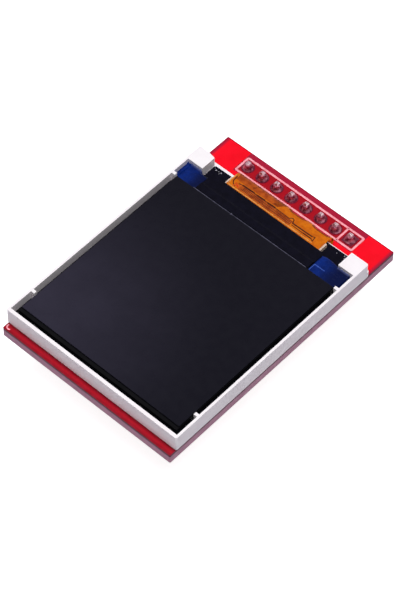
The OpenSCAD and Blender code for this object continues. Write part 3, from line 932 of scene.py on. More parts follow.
def rounded_rectangle(width: float, length: float, radius: float, arc: int = 6) -> np.ndarray:
    """Outlines a rectangle with round corners.

    Each corner is a quarter circle: its centre lies the radius in from both sides, and the angle runs on from
    one corner to the next.

    Args:
        width: Size along X.
        length: Size along Y.
        radius: Radius of the corners.
        arc: Points of each corner.

    Returns:
        Points as (point, axis), anticlockwise, centred on zero.
    """
    turn = np.linspace(0, math.pi / 2, arc)
    angles = (turn[None, :] + np.arange(4)[:, None] * math.pi / 2).ravel()
    signs = np.repeat(np.array([[1, 1], [-1, 1], [-1, -1], [1, -1]]), arc, 0)
    centres = signs * (np.array([width, length]) / 2 - radius)
    return centres + radius * np.stack([np.cos(angles), np.sin(angles)], 1)


def crumb(place: Place, size: float, seed: int) -> Shell:
    """Makes a small uneven crumb.

    It is a ball, flattened to 0.45 of its height, whose radius swells with the sine of twice and the cosine
    of three times the angle round it. Its poles are cut off a little, and capped.

    Args:
        place: Its middle, in millimetres.
        size: Its radius.
        seed: Picks its swelling.

    Returns:
        The points and the faces.
    """
    swell = np.random.default_rng(seed).uniform(0.1, 0.3, 3)
    pole = 0.12
    down, turn = grid(np.linspace(pole, math.pi - pole, 9), circle(14))
    radius = size * (1 + swell[0] * np.sin(2 * turn + seed) + swell[1] * np.cos(3 * turn) * np.sin(down))
    ball = np.stack([np.sin(down) * np.cos(turn), np.sin(down) * np.sin(turn), 0.45 * np.cos(down)], -1)
    return loft(ball * radius[..., None] + np.array(place))


def soften(node: str, finish: Finish, edge: Edge = Edge.SHARP) -> None:
    """Gives a node its finish and, by modifiers, edges as round as the real piece's.

    Args:
        node: The node.
        finish: Its finish.
        edge: How round its edges are.
    """
    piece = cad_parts[node]
    piece.data.materials.clear()
    piece.data.materials.append(finish.build())
    if edge is not Edge.SHARP:
        weld = piece.modifiers.new("weld", "WELD")
        weld.merge_threshold = 0.0005 * MM
        bevel = piece.modifiers.new("edges", "BEVEL")
        bevel.width = edge.value * MM
        bevel.segments = 2
        bevel.limit_method = "ANGLE"
        bevel.angle_limit = math.radians(50)
        bevel.harden_normals = True
    LOG.info("%s: carried over, %s", node, finish.name)


# ---------------------------------------------------------------- sub-assemblies


def pin_places(count: int = 8) -> np.ndarray:
    """Gives the place of each pin along X: even steps between the middles of the first and the last.

    Args:
        count: Number of pins.

    Returns:
        The places, in millimetres.
    """
    low, high = corner("header_pins", False), corner("header_pins", True)
    half = (high[1] - low[1]) / 2
    return np.linspace(low[0] + half, high[0] - half, count)


class Assembly(ABC):
    """A sub-assembly of the module: solids that it finishes, and pieces that it adds to them."""

    @abstractmethod
    def dress(self) -> None:
        """Finishes the solids that are carried over."""

    @abstractmethod
    def pieces(self) -> list[bpy.types.Object]:
        """Builds the added pieces and gives them in the order in which they were built."""

    def build(self) -> None:
        """Dresses the solids, builds the pieces, and reports them."""
        self.dress()
        made = self.pieces()
        LOG.info("%s: %d added pieces", type(self).__name__, len(made))


@dataclass
class Board(Assembly):
    """The circuit board: mask, printed legend, and copper that shows as low lines under the mask.

    Attributes:
        line: Width of the legend's lines on the upper face.
        fine_line: Width of the legend's lines on the back.
        ink: Height of the ink.
        legend_low: Front left corner of the box round the pins.
        legend_high: Rear right corner of that box.
        divider: Place along X of the line at the first pin.
        mark_centre: Centre of the corner mark's bend.
        mark_radius: Radius of that bend.
        mark_rear: Step from the bend to the corner mark's rear end.
        mark_right: Step from the bend to its right end.
        mark_line: Width of the corner mark.
        margin: Gap between a part on the back and its printed outline.
        copper: Height of the copper under the mask.
        trace_width: Width of a trace.
        via_line: Width of a via's ring.
        via_radius: Radius of a via's ring.
        fan: Half of the width that the traces spread over at the parts.
        parts_y: Middle of the row of parts on the back, along Y.
        trace_y: Where the traces leave the pins and where they begin to turn, along Y.
        parts_reach: Distance of the traces' ends from the middle of the parts.
        via_y: Distances behind the parts at which the tails end and the vias lie.
    """

    line: float = 0.3
    fine_line: float = 0.15
    ink: float = 0.02
    legend_low: Spot = (4.34, 39.06)
    legend_high: Spot = (24.74, 41.9)
    divider: float = 22.02
    mark_centre: Spot = (0.62, 0.66)
    mark_radius: float = 0.36
    mark_rear: Spot = (0.0, 0.2)
    mark_right: Spot = (0.33, 0.06)
    mark_line: float = 0.2
    margin: float = 0.35
    copper: float = 0.02
    trace_width: float = 0.3
    via_line: float = 0.2
    via_radius: float = 0.22
    fan: float = 7.0
    parts_y: float = -6.0
    trace_y: Span = (-0.9, -2.0)
    parts_reach: float = 1.0
    via_y: Span = (3.2, 3.45)

    def dress(self) -> None:
        """Finishes the board and the tape under the frame."""
        soften("board", MASK, Edge.ROUND)
        soften("mounting_tape", STICKY)

    def pieces(self) -> list[bpy.types.Object]:
        """Builds the printed legends and the traces."""
        return [self.legend(), self.back_legend(), self.traces()]

    def legend(self) -> bpy.types.Object:
        """Prints the box round the pins, its divider at the first pin, and the corner mark.

        The corner mark is a quarter circle with a straight end on both sides.

        Returns:
            The piece.
        """
        low = np.array(self.legend_low) + self.line / 2
        high = np.array(self.legend_high) - self.line / 2
        box = rounded_rectangle(*(high - low), 0.12, 4) + (low + high) / 2
        bar = np.array([[self.divider, low[1]], [self.divider, high[1]]])
        bend = np.linspace(math.pi, 1.5 * math.pi, 7)
        mark = self.mark_centre + self.mark_radius * np.stack([np.cos(bend), np.sin(bend)], 1)
        mark = np.concatenate([mark[:1] + self.mark_rear, mark, mark[-1:] + self.mark_right])
        points, faces = join(
            [
                loft(ribbon_of(box, self.line, self.ink, True), True),
                loft(ribbon_of(bar, self.line, self.ink)),
                loft(ribbon_of(mark, self.mark_line, self.ink)),
            ]
        )
        return add_piece("board_legend", points + ORIGIN, faces, INK, Slot.MASK)

    def back_legend(self) -> bpy.types.Object:
        """Prints the outlines of the parts on the back, and a dot at the first pin.

        Returns:
            The piece.
        """
        lines = []
        for node in ("regulator", "transistor", "header_strip"):
            low, high = corner(node, False)[:2] - self.margin, corner(node, True)[:2] + self.margin
            plan = rounded_rectangle(*(high - low), 0.1, 3) + (low + high) / 2
            lines.append(loft(ribbon_of(plan, self.fine_line, self.ink, True), True))
        dot = ring_at(np.array([corner("header_strip", True)[0] + 0.9, 0.0]), 0.12, 16)
        lines.append(loft(ribbon_of(dot, 0.18, self.ink, True), True))
        points, faces = join(lines)
        return add_piece("board_legend_back", self.beneath(points), faces, INK, Slot.MASK)

    def beneath(self, points: np.ndarray) -> np.ndarray:
        """Turns the heights of points above a face into depths below the board."""
        return points * [1, 1, -1] + [0, 0, UNDERSIDE]

    def traces(self) -> bpy.types.Object:
        """Runs copper from each pin to the row of parts on the back, with a via past each end.

        Each line leaves its pin straight, turns by 45 degrees halfway and ends straight at its part.

        Returns:
            The piece.
        """
        leave, turn = self.trace_y
        near, far = self.parts_y + self.parts_reach, self.parts_y - self.parts_reach
        tail_end, via = (self.parts_y - distance for distance in self.via_y)
        pins = pin_places()
        lines = []
        for start, end in zip(pins, np.linspace(-self.fan, self.fan, len(pins))):
            path = np.array([[start, leave], [start, turn], [end, turn - abs(end - start)], [end, near]])
            tail = np.array([[end, far], [end, tail_end]])
            ring = ring_at(np.array([end, via]), self.via_radius, 20)
            lines += [
                loft(ribbon_of(path, self.trace_width, self.copper)),
                loft(ribbon_of(tail, self.trace_width, self.copper)),
                loft(ribbon_of(ring, self.via_line, self.copper * 1.2, True), True),
            ]
        points, faces = join(lines)
        return add_piece("board_traces_back", self.beneath(points), faces, TRACE, Slot.MASK)


@dataclass
class Header(Assembly):
    """The row of pins: plated pads, pins, plastic strip, and solder that climbs each pin.

    Attributes:
        around: Points round a solder cone.
        foot: Radius of the solder on the pad.
        neck: Radius of the solder where it meets the pin.
        cap: Radius of the closed top inside the pin.
        rise: Height of the solder.
        hollow: Power of the curve from foot to neck.
        seed: Picks how the cones differ.
    """

    around: int = 40
    foot: float = 0.8
    neck: float = 0.47
    cap: float = 0.3
    rise: float = 0.78
    hollow: float = 2.4
    seed: int = 8

    def dress(self) -> None:
        """Finishes the solids of the header."""
        soften("header_pads", PADS)
        soften("header_pins", PIN, Edge.EASED)
        soften("header_strip", BLACK, Edge.ROUND)

    def pieces(self) -> list[bpy.types.Object]:
        """Builds the solder cones."""
        return [self.solder()]

    def solder(self) -> bpy.types.Object:
        """Shapes the solder on each pad.

        The radius falls from the foot to the neck along a hollow curve, (1 - t) ** 2.4 for a height t from 0
        to 1, and swells a little round the pin in a way that differs from joint to joint.

        Returns:
            The piece, which stands for the plain solder solids.
        """
        base = corner("header_pads", True)[2]
        turn = circle(self.around)
        height = np.linspace(0, 1, 12)
        flank = self.neck + (self.foot - self.neck) * (1 - height) ** self.hollow
        radius = np.concatenate([[self.foot], flank, [self.cap]])
        chance = np.random.default_rng(self.seed)
        joints = []
        for centre in pin_places():
            lean = chance.uniform(0, 2 * math.pi)
            swell = 0.05 * np.cos(turn - lean) + 0.03 * np.cos(2 * turn + lean)
            rise = self.rise * chance.uniform(0.9, 1.08)
            level = np.concatenate([[-0.01], 0.01 + height * rise, [rise + 0.02]])
            spread = radius[:, None] * (1 + swell * (1 - np.clip(level, 0, 1))[:, None])
            heights = np.broadcast_to(base + level[:, None], spread.shape)
            rings = np.stack([centre + spread * np.cos(turn), spread * np.sin(turn), heights], -1)
            joints.append(loft(rings))
        points, faces = join(joints)
        piece = add_piece("solder_joints", points, faces, SOLDER, Slot.METAL, 60)
        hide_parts("header_solder")
        return piece


@dataclass
class Panel(Assembly):
    """The liquid crystal panel: glasses, polarizers, glue on the ledge, and the tape over the driver chip.

    Attributes:
        tape: Thickness of the driver tape.
        tape_start: Gap between the front glass and the tape.
        tape_rear: Reach of the tape's rear edge past its solid, at the left end.
        tape_skew: How much further front that edge lies at the right end.
        wrinkle: Height of the tape's waves.
        glue_height: Height of the glue on the ledge.
        glue_roll: Share of a patch over which its inner edge rises.
        glue_sag: Depth of the glue between the glass and the frame's wall.
        post_front: Where the glue meets the corner posts, along Y on the board's plan.
        post_depth: Distance from the wall within which a post stands.
        climb: Height to which the glue climbs a post.
        climb_reach: Distance from the post at which it begins to climb.
        left_rear: Rear edge of the left patch, from left to right.
        right_rear: Rear edge of the right patch, from left to right.
        mark: The pale corner line in the right patch.
        chip_x: Place of the chip in the screen's edge line.
    """

    tape: float = 0.045
    tape_start: float = 0.02
    tape_rear: float = 0.12
    tape_skew: float = 0.15
    wrinkle: float = 0.008
    glue_height: float = 0.12
    glue_roll: float = 0.08
    glue_sag: float = 0.22
    post_front: float = 34.59
    post_depth: float = 2.55
    climb: float = 0.4
    climb_reach: float = 0.35
    left_rear: tuple[Spot, ...] = ((0.2, 34.59), (2.7, 34.59), (2.95, 34.42), (3.9, 34.3))
    right_rear: tuple[Spot, ...] = (
        (23.3, 34.85), (24.0, 35.04), (24.6, 35.06), (26.1, 34.84), (26.2, 34.59), (28.7, 34.59),
    )
    mark: tuple[Spot, ...] = ((23.55, 31.95), (23.55, 33.1), (25.2, 33.1))
    chip_x: float = 10.45

    def dress(self) -> None:
        """Finishes the sheets of the panel."""
        soften("rear_glass", LEDGE, Edge.EASED)
        soften("front_glass", GLASS, Edge.EASED)
        soften("front_polarizer", SCREEN, Edge.SOFT)
        soften("rear_polarizer", SCREEN)
        soften("driver_chip", BLACK, Edge.CRISP)

    def pieces(self) -> list[bpy.types.Object]:
        """Builds the tape, both patches of glue and the two fine lines.

        Returns:
            The pieces.
        """
        return [
            self.cover_tape(),
            self.glue("glue_left", "left_glue", self.left_rear),
            self.glue("glue_right", "right_glue", self.right_rear),
            self.edge_line(),
            self.glass_mark(),
        ]

    def cover_tape(self) -> bpy.types.Object:
        """Drapes the black tape over the ledge, the driver chip and the ribbon's end.

        The height is a line through the tops of what it covers, smoothed along Y by a running mean, plus low
        waves along X and Y. The rear edge runs a little askew.

        Returns:
            The piece, which stands for the plain tape.
        """
        low, high = corner("cover_tape", False), corner("cover_tape", True)
        chip_low, chip_high = corner("driver_chip", False), corner("driver_chip", True)
        ledge, film = corner("rear_glass", True)[2], corner("ribbon", True)[2] + 0.01
        stations = [
            low[1], chip_low[1] - 0.25, chip_low[1] - 0.06, chip_high[1] + 0.06, chip_high[1] + 0.45, high[1]
        ]
        tops = [ledge, ledge + 0.02, chip_high[2], chip_high[2], film, film]
        x, share = grid(np.linspace(low[0], high[0], 150), np.linspace(0, 1, 60))
        rear = high[1] + self.tape_rear - self.tape_skew * (x - low[0]) / (high[0] - low[0])
        y = low[1] + self.tape_start + (rear - low[1]) * share
        lift = np.interp(y, stations, tops)
        padded = np.pad(lift, ((0, 0), (2, 2)), mode="edge")
        smooth = np.lib.stride_tricks.sliding_window_view(padded, 5, axis=1).mean(-1)
        waves = np.sin(x * 2.1 + 1.4 * np.sin(y * 1.7)) * np.sin(y * 3.1 + x * 0.4)
        top = np.maximum(smooth, lift) + self.tape + self.wrinkle * (waves + 1) / 2
        sheet = np.stack([x, y, top], -1)
        points, faces = sandwich(sheet, sheet - [0, 0, self.tape])
        piece = add_piece("driver_tape", points, faces, TAPE, Slot.TAPE, 50)
        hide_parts("cover_tape")
        return piece

    def glue(self, node: str, name: str, rear: tuple[Spot, ...]) -> bpy.types.Object:
        """Pours one patch of glue over the ledge, and down between the glass and the frame's wall.

        On the glass its height is the film's, times (1 - v ** 8) ** 0.5 for v from -1 to 1 between its front
        and rear edges, and it rises as a square root behind its inner edge. Past the glass it sags by half a
        sine wave to the wall. In front of a post it climbs with the power 1.5 of the distance gone. Its
        underside steps down from the ledge to the bottom of the solid where there is no glass.

        Args:
            node: The plain glue solid.
            name: Name of the piece.
            rear: Places of its rear edge on the board's plan, from left to right.

        Returns:
            The piece, which stands for the plain solid.
        """
        low, high = corner(node, False), corner(node, True)
        glass_low, glass_high = corner("rear_glass", False), corner("rear_glass", True)
        ledge = glass_high[2]
        if low[0] > 0:
            inner, edge, wall = low[0], glass_high[0], high[0]
        else:
            inner, edge, wall = high[0], glass_low[0], low[0]
        step = math.copysign(0.002, wall - edge)
        stations = np.concatenate([np.linspace(inner, edge, 34), np.linspace(edge + step, wall, 12)])
        x, v = grid(stations, np.linspace(-1, 1, 40))
        knots = np.array(rear) + ORIGIN[:2]
        end = np.interp(x, knots[:, 0], knots[:, 1])
        y = low[1] + (end - low[1]) * (v + 1) / 2
        roll = np.sqrt(np.clip((x - inner) / (edge - inner) / self.glue_roll, 0, 1))
        rise = roll * np.sqrt(1 - np.abs(v) ** 8)
        gap = np.clip((x - edge) / (wall - edge), 0, 1)
        z = ledge + 0.004 + self.glue_height * rise * (1 + 0.12 * np.sin(x * 2.2 + y * 1.6))
        z = z - self.glue_sag * np.sin(gap * math.pi)
        foot = self.post_front + ORIGIN[1] - self.climb_reach
        near_post = np.abs(x - wall) < self.post_depth
        z = z + near_post * self.climb * np.clip((y - foot) / self.climb_reach, 0, 1) ** 1.5
        floor = np.where((gap > 0) | (y > glass_high[1] + 0.02), low[2], ledge)
        points, faces = sandwich(np.stack([x, y, z], -1), np.stack([x, y, floor], -1))
        piece = add_piece(name, points, faces, GLUE, Slot.GLUE, 70)
        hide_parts(node)
        return piece

    def edge_line(self) -> bpy.types.Object:
        """Runs the film's pale cut edge along the screen's rear end, between the glues, with a chip in it.

        Returns:
            The piece.
        """
        height, width = 0.03, 0.13
        high = corner("front_polarizer", True)
        ends = corner("glue_left", True)[0], corner("glue_right", False)[0]
        y = high[1] + 0.03
        line = loft(ribbon_of(np.array([[ends[0], y], [ends[1], y]]), width, height))
        chip = crumb((ORIGIN[0] + self.chip_x, y, 0.02), width, 5)
        points, faces = join([line, chip])
        return add_piece("screen_edge", points + [0, 0, high[2] - height], faces, EDGE, Slot.SCREEN)

    def glass_mark(self) -> bpy.types.Object:
        """Draws the pale corner line that shows in the right glue.

        Returns:
            The piece.
        """
        level = corner("rear_glass", True)[2] + self.glue_height - ORIGIN[2]
        points, faces = loft(ribbon_of(np.array(self.mark), 0.14, 0.03))
        return add_piece("glass_mark", points + ORIGIN + [0, 0, level], faces, GLUE_MARK, Slot.GLUE)


@dataclass
class Backlight(Assembly):
    """The moulded frame with the backlight's sheets, LEDs and tapes.

    Attributes:
        bare: Width of the bar left bare behind its tape, at the left end and at the right end.
        round_corner: Radius of the tape's rear left corner.
        ripple: Half of the height of the tape's waves.
        glint_places: Places on the board's plan and sizes of the pale specks on the bar's tape, painted
            glints where its wrinkles catch light.
    """

    bare: Span = (0.45, 0.08)
    round_corner: float = 0.25
    ripple: float = 0.006
    # Painted glints on the bar's tape: places and sizes.
    glint_places: tuple[Place, ...] = (
        (3.05, 36.72, 0.07),
        (3.45, 36.52, 0.12),
        (3.85, 36.56, 0.09),
        (4.28, 36.57, 0.12),
        (4.1, 36.32, 0.07),
        (25.2, 37.1, 0.09),
        (25.42, 36.75, 0.1),
        (24.1, 36.85, 0.06),
    )

    def dress(self) -> None:
        """Finishes the frame and what it holds."""
        soften("backlight_frame", WHITE, Edge.ROUND)
        soften("rim_tape", FOAM)
        soften("leds", LAMP)
        soften("led_strip", AMBER)
        for node in ("reflector", "light_guide", "diffuser", "prism_film_lower", "prism_film_upper"):
            soften(node, FILM)

    def pieces(self) -> list[bpy.types.Object]:
        """Builds the tape on the rear bar and the pale specks that stand for glints on it."""
        return [self.bar_tape(), self.painted_glints()]

    def bar_tape(self) -> bpy.types.Object:
        """Lays the black tape on the rear bar, a little askew, so that the bar's edge is bare at the left.

        The sheet is a grid between the front and rear edges; its height has low waves, sin(ax) times sin(by).

        Returns:
            The piece, which stands for the plain tape.
        """
        low, high = corner("rear_tape", False), corner("rear_tape", True)
        rear = corner("backlight_frame", True)[1]
        x, share = grid(np.linspace(low[0], high[0], 120), np.linspace(0, 1, 24))
        across = (x - low[0]) / (high[0] - low[0])
        end = rear - self.bare[0] * (1 - across) - self.bare[1] * across
        turn = np.clip((low[0] + self.round_corner - x) / self.round_corner, 0, 1)
        end = end - self.round_corner * (1 - np.sqrt(1 - turn**2))
        y = low[1] + (end - low[1]) * share
        top = high[2] + self.ripple * np.sin(x * 2.7 + y) * np.sin(y * 3.4 - x * 0.6)
        points, faces = sandwich(np.stack([x, y, top], -1), np.stack([x, y, np.full_like(x, low[2])], -1))
        piece = add_piece("bar_tape", points, faces, TAPE, Slot.TAPE, 50)
        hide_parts("rear_tape")
        return piece

    def painted_glints(self) -> bpy.types.Object:
        """Leaves a few pale specks on the tape of the rear bar: painted glints where its wrinkles catch
        light.

        Returns:
            The piece.
        """
        level = corner("rear_tape", True)[2] - ORIGIN[2]
        points, faces = join(
            [crumb((x, y, level + size * 0.35), size, seed) for seed, (x, y, size) in enumerate(self.glint_places)]
        )
        return add_piece("painted_glints", points + ORIGIN, faces, GLINT, Slot.PAPER, 60)


@dataclass(frozen=True)
class Stroke:
    """A line drawn on the ribbon.

    Attributes:
        path: Places on the board's plan.
        width: Its width, in millimetres.
        rise: Its height, as a multiple of the ribbon's lift.
    """

    path: tuple[Spot, ...]
    width: float
    rise: float = 2.0


@dataclass(frozen=True)
class Patch:
    """A flat zone raised on the ribbon, between two edges that run along it.

    Attributes:
        left: Places of its left edge on the board's plan.
        right: Places of its right edge.
        rise: Its height, as a multiple of the ribbon's lift.
    """

    left: tuple[Spot, ...]
    right: tuple[Spot, ...]
    rise: float = 1.0


@dataclass
class Ribbon(Assembly):
    """The amber ribbon: film, copper under its cover, fine lines, and the strip that props it up.

    Attributes:
        thickness: Thickness of the film.
        bond: Length that is bonded to the glass.
        relief_count: Number of relief slots along the fold.
        relief_width: Length of a slot across the ribbon.
        relief_pitch: Spacing of the slots.
        relief_inset: Distance of the last slot's middle from the ribbon's right edge.
        relief_start: Distance of a slot's upper end behind the fold's axis.
        relief_height: Height of a slot, down from the ribbon's upper face.
        relief_corner: How much later a slot begins at its corners.
        tail_width: Width of the tail.
        tail_shoulder: Distance of the tail's shoulders from the fold's axis.
        lift: Height of the copper under the cover.
        sunk: Depth of the feet of what is drawn on the film.
        step: Longest step of a drawn line.
        copper_patches: The fold's copper up to its slanted end, and the bed of the comb.
        ground_patch: The darker band along the copper's slanted end.
        smudge: The dark spot beside it.
        slot_shade_x: Middles of the dark bent lines at the slots' edges, along X.
        bend: A dark bent line at a slot's edge, from its middle: painted shadow at the edge, partly the
            film's lower layer seen through the slot.
        lead: The long line with its bump, the loop, and their thick ends.
        dashes: Ends of the long line's thick dashes, along X.
        comb_x: Ends and spacing of the comb's teeth, along X.
        frame_and_fold_shade_lines: The comb's back, the curve at the left, and a dark line along the fold
            that is painted shade where the film turns away from the light.
        ember_strokes: The two crossed, reddish pads.
        rim_stroke: The pale rim: partly the bare film margin, partly a painted highlight of the film's edge.
    """

    thickness: float = 0.1
    bond: float = 1.0
    relief_count: int = 2
    relief_width: float = 2.8
    relief_pitch: float = 4.0
    relief_inset: float = 1.7
    relief_start: float = 0.36
    relief_height: float = 1.4
    relief_corner: float = 0.15
    tail_width: float = 12.4
    tail_shoulder: float = 0.3
    lift: float = 0.006
    sunk: float = 0.002
    step: float = 0.08
    copper_patches: tuple[Patch, ...] = (
        Patch(
            left=((6.55, 36.8), (6.75, 37.3), (6.5, 37.9), (6.5, 38.3)),
            right=((13.75, 36.85), (14.2, 37.3), (14.7, 37.95), (14.9, 38.3)),
        ),
        Patch(left=((8.0, 35.62), (8.0, 36.5)), right=((16.9, 35.62), (16.9, 36.45))),
    )
    ground_patch: Patch = Patch(
        left=((13.0, 36.95), (13.3, 37.5), (13.2, 38.0)),
        right=((13.7, 36.9), (14.15, 37.3), (14.7, 37.95)),
        rise=1.6,
    )
    smudge: Stroke = Stroke(((9.35, 37.12), (9.6, 37.3), (9.75, 37.55)), 0.28, 1.6)
    # The bent lines at the slots' edges are painted shadow, partly the film's lower layer seen through the
    # slot.
    slot_shade_x: tuple[float, ...] = (16.6, 20.6)
    bend: Stroke = Stroke(((-1.5, 37.8), (-1.0, 37.62), (0.0, 37.56), (1.0, 37.61), (1.5, 37.8)), 0.22, 1.6)
    lead: tuple[Stroke, ...] = (
        Stroke(
            (
                (7.5, 36.42), (8.1, 36.56), (10.0, 36.58), (13.7, 36.58), (16.2, 36.53), (16.4, 36.76),
                (16.62, 36.84), (16.84, 36.74), (16.96, 36.45), (17.08, 36.22), (20.35, 36.26),
            ),
            0.15,
        ),
        Stroke(((20.3, 36.26), (20.72, 36.42), (20.84, 35.74), (20.45, 35.9), (17.1, 35.92)), 0.13),
        Stroke(((16.96, 36.3), (17.1, 36.22), (20.35, 36.26)), 0.21, 2.2),
        Stroke(((19.1, 35.92), (20.5, 35.92)), 0.2, 2.2),
    )
    dashes: tuple[Span, ...] = ((8.12, 10.1), (10.55, 11.9), (12.45, 13.7))
    comb_x: tuple[float, float, float] = (8.6, 16.9, 0.24)
    frame_and_fold_shade_lines: tuple[Stroke, ...] = (
        Stroke(((8.3, 35.9), (16.9, 35.88)), 0.09),
        Stroke(((6.54, 37.35), (6.55, 36.95), (6.62, 36.38), (6.92, 35.98), (7.4, 35.74)), 0.15),
        # A dark line along the fold: painted shade where the film turns away from the light.
        Stroke(((6.5, 37.88), (14.6, 37.88)), 0.1),
    )
    ember_strokes: tuple[Stroke, ...] = (
        Stroke(((7.1, 36.32), (7.5, 36.06), (7.95, 35.8)), 0.24, 3.0),
        Stroke(((7.1, 35.76), (7.45, 36.0), (7.9, 36.34)), 0.18, 3.3),
    )
    rim_stroke: Stroke = Stroke(
        ((6.28, 37.4), (6.27, 36.2), (6.36, 35.6), (6.6, 35.5), (20.9, 35.48)), 0.15, 1.2
    )

    def __post_init__(self) -> None:
        """Reads the ribbon's fold from its solid."""
        low, high = corner("ribbon", False), corner("ribbon", True)
        self.left, self.right = low[0], high[0]
        self.radius = (high[2] - low[2]) / 2
        self.axis_y = high[1] - self.radius
        self.axis_z = (high[2] + low[2]) / 2
        self.front = corner("rear_glass", True)[1] - self.bond
        self.flat = self.axis_y - self.front
        self.tail = self.axis_y - low[1]

    def dress(self) -> None:
        """Finishes the ribbon's solids that stay."""
        soften("ribbon_support", PAD, Edge.EASED)
        soften("ribbon_contacts", TIN)

    def pieces(self) -> list[bpy.types.Object]:
        """Builds the film and what is drawn on it."""
        return [self.film(), self.copper(), self.ground_and_shade(), self.lines(), self.ember(), self.rim()]

    def surface(self, x: np.ndarray, along: np.ndarray, out: np.ndarray | float) -> np.ndarray:
        """Places points on the ribbon's outer face.

        The face runs flat to the fold, then round a half circle, then flat again underneath. A point at
        distance s past the fold's start lies at the angle s over the radius.

        Args:
            x: Place across the ribbon, in the part's frame.
            along: Distance from the bonded end, measured on the outer face.
            out: Height above the outer face.

        Returns:
            The points.
        """
        turn = np.clip((along - self.flat) / self.radius, 0, math.pi)
        past = np.maximum(along - self.flat - math.pi * self.radius, 0)
        reach = self.radius + out
        y = np.where(along < self.flat, self.front + along, self.axis_y + reach * np.sin(turn) - past)
        z = self.axis_z + reach * np.cos(turn)
        return np.stack(np.broadcast_arrays(x, y, z), -1)

    def at(self, places: tuple[Spot, ...]) -> np.ndarray:
        """Turns places on the board's plan into places on the ribbon's outer face.

        Behind the fold's axis, a place lies at the angle whose sine is its distance from the axis over the
        radius.

        Args:
            places: Places on the board's plan.

        Returns:
            One row each: the place across, in the part's frame, and the distance along.
        """
        x, y = (np.array(places) + ORIGIN[:2]).T
        turn = np.arcsin(np.clip((y - self.axis_y) / self.radius, 0, 1))
        return np.stack([x, np.minimum(y, self.axis_y) - self.front + turn * self.radius], 1)

    def film(self) -> bpy.types.Object:
        """Bends the film, opens its relief slots and narrows its tail.

        The sheet is a grid over its width and length, without the cells of the slots and of the tail's
        shoulders, and a modifier gives it its thickness inwards. A slot begins later towards its corners: by
        the corner's depth times the fourth power of the distance from its middle over half its width.

        Returns:
            The piece, which stands for the plain ribbon.
        """
        under = self.flat + math.pi * self.radius
        length = under + self.tail
        slot_low = self.flat + self.radius * math.asin(self.relief_start / self.radius)
        drop = self.relief_height - self.radius
        slot_high = self.flat + self.radius * (math.pi / 2 + math.asin(drop / self.radius))
        half_slot = self.relief_width / 2
        middles = self.right - self.relief_inset - self.relief_pitch * np.arange(self.relief_count)
        centre = (self.left + self.right) / 2
        tail = (centre - self.tail_width / 2, centre + self.tail_width / 2)
        slot_sides = [middle + side * half_slot for middle in middles for side in (-1, 1)]
        bounds_x = sorted({self.left, self.right, *tail, *slot_sides})
        bounds_s = [0, slot_low, slot_high, under + self.tail_shoulder, length]
        across = np.unique(np.concatenate([np.linspace(a, b, 14) for a, b in zip(bounds_x, bounds_x[1:])]))
        along = np.unique(np.concatenate([np.linspace(a, b, 26) for a, b in zip(bounds_s, bounds_s[1:])]))
        s, x = grid(along, across)
        aside = np.abs(x[None] - middles[:, None, None]).min(0) / half_slot
        begin = slot_low + self.relief_corner * np.clip(aside, 0, 1) ** 4
        inside = begin + (s - slot_low) * (slot_high - begin) / (slot_high - slot_low)
        bent = np.where(s <= slot_low, s * begin / slot_low, np.where(s <= slot_high, inside, s))
        points = self.surface(x, bent, 0.0).reshape(-1, 3)
        quads = grid_faces(len(along), len(across), False)
        middle_x = x.ravel()[quads].mean(1)
        middle_s = s.ravel()[quads].mean(1)
        cut = (middle_s > under + self.tail_shoulder) & ((middle_x < tail[0]) | (middle_x > tail[1]))
        for middle in middles:
            cut |= (np.abs(middle_x - middle) < half_slot) & (middle_s > slot_low) & (middle_s < slot_high)
        used, index = np.unique(quads[~cut], return_inverse=True)
        faces = [tuple(quad) for quad in index.reshape(-1, 4)[:, ::-1].tolist()]
        piece = add_piece("ribbon_film", points[used], faces, AMBER, Slot.RIBBON, 50)
        outward = piece.data.polygons[0].normal.z > 0
        solid = piece.modifiers.new("thickness", "SOLIDIFY")
        solid.thickness = self.thickness * MM
        solid.offset = -1 if outward else 1
        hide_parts("ribbon")
        return piece

    def drawn(self, stroke: Stroke) -> Shell:
        """Draws a line on the outer face, cut into short steps so that it follows the fold.

        Args:
            stroke: The line.

        Returns:
            The points and the faces.
        """
        corners = self.at(stroke.path)
        lengths = np.concatenate([[0], np.cumsum(np.linalg.norm(np.diff(corners, axis=0), axis=1))])
        count = max(int(lengths[-1] / self.step), 4)
        stations = np.unique(np.concatenate([np.linspace(0, lengths[-1], count), lengths]))
        line = np.stack([np.interp(stations, lengths, corners[:, axis]) for axis in (0, 1)], 1)
        rings = ribbon_of(line, stroke.width, stroke.rise * self.lift)
        return loft(self.surface(rings[..., 0], rings[..., 1], rings[..., 2] - self.sunk))

    def raised(self, patch: Patch) -> Shell:
        """Raises a flat zone between two edges that run along the ribbon.

        Rows of the zone run straight from the left edge to the right edge at the same share of their lengths.

        Args:
            patch: The zone.

        Returns:
            The points and the faces.
        """
        share = np.linspace(0, 1, 30)
        edges = []
        for edge in (patch.left, patch.right):
            places = self.at(edge)
            knots = np.linspace(0, 1, len(places))
            edges.append(np.stack([np.interp(share, knots, places[:, axis]) for axis in (0, 1)], 1)[:, None])
        blend = np.linspace(0, 1, 40)[None, :, None]
        across, along = np.moveaxis(edges[0] * (1 - blend) + edges[1] * blend, -1, 0)
        top = self.surface(across, along, patch.rise * self.lift)
        return sandwich(top, self.surface(across, along, -self.sunk))

    def copper(self) -> bpy.types.Object:
        """Raises the copper that darkens the left of the fold up to its slanted end, and the comb's bed."""
        points, faces = join([self.raised(patch) for patch in self.copper_patches])
        return add_piece("ribbon_copper", points, faces, COPPER, Slot.RIBBON, 60)

    def ground_and_shade(self) -> bpy.types.Object:
        """Raises the darker band along the copper's slanted end, a smudge beside it, and the dark bent lines
        at the slots' edges, which are painted shadow.

        Returns:
            The piece.
        """
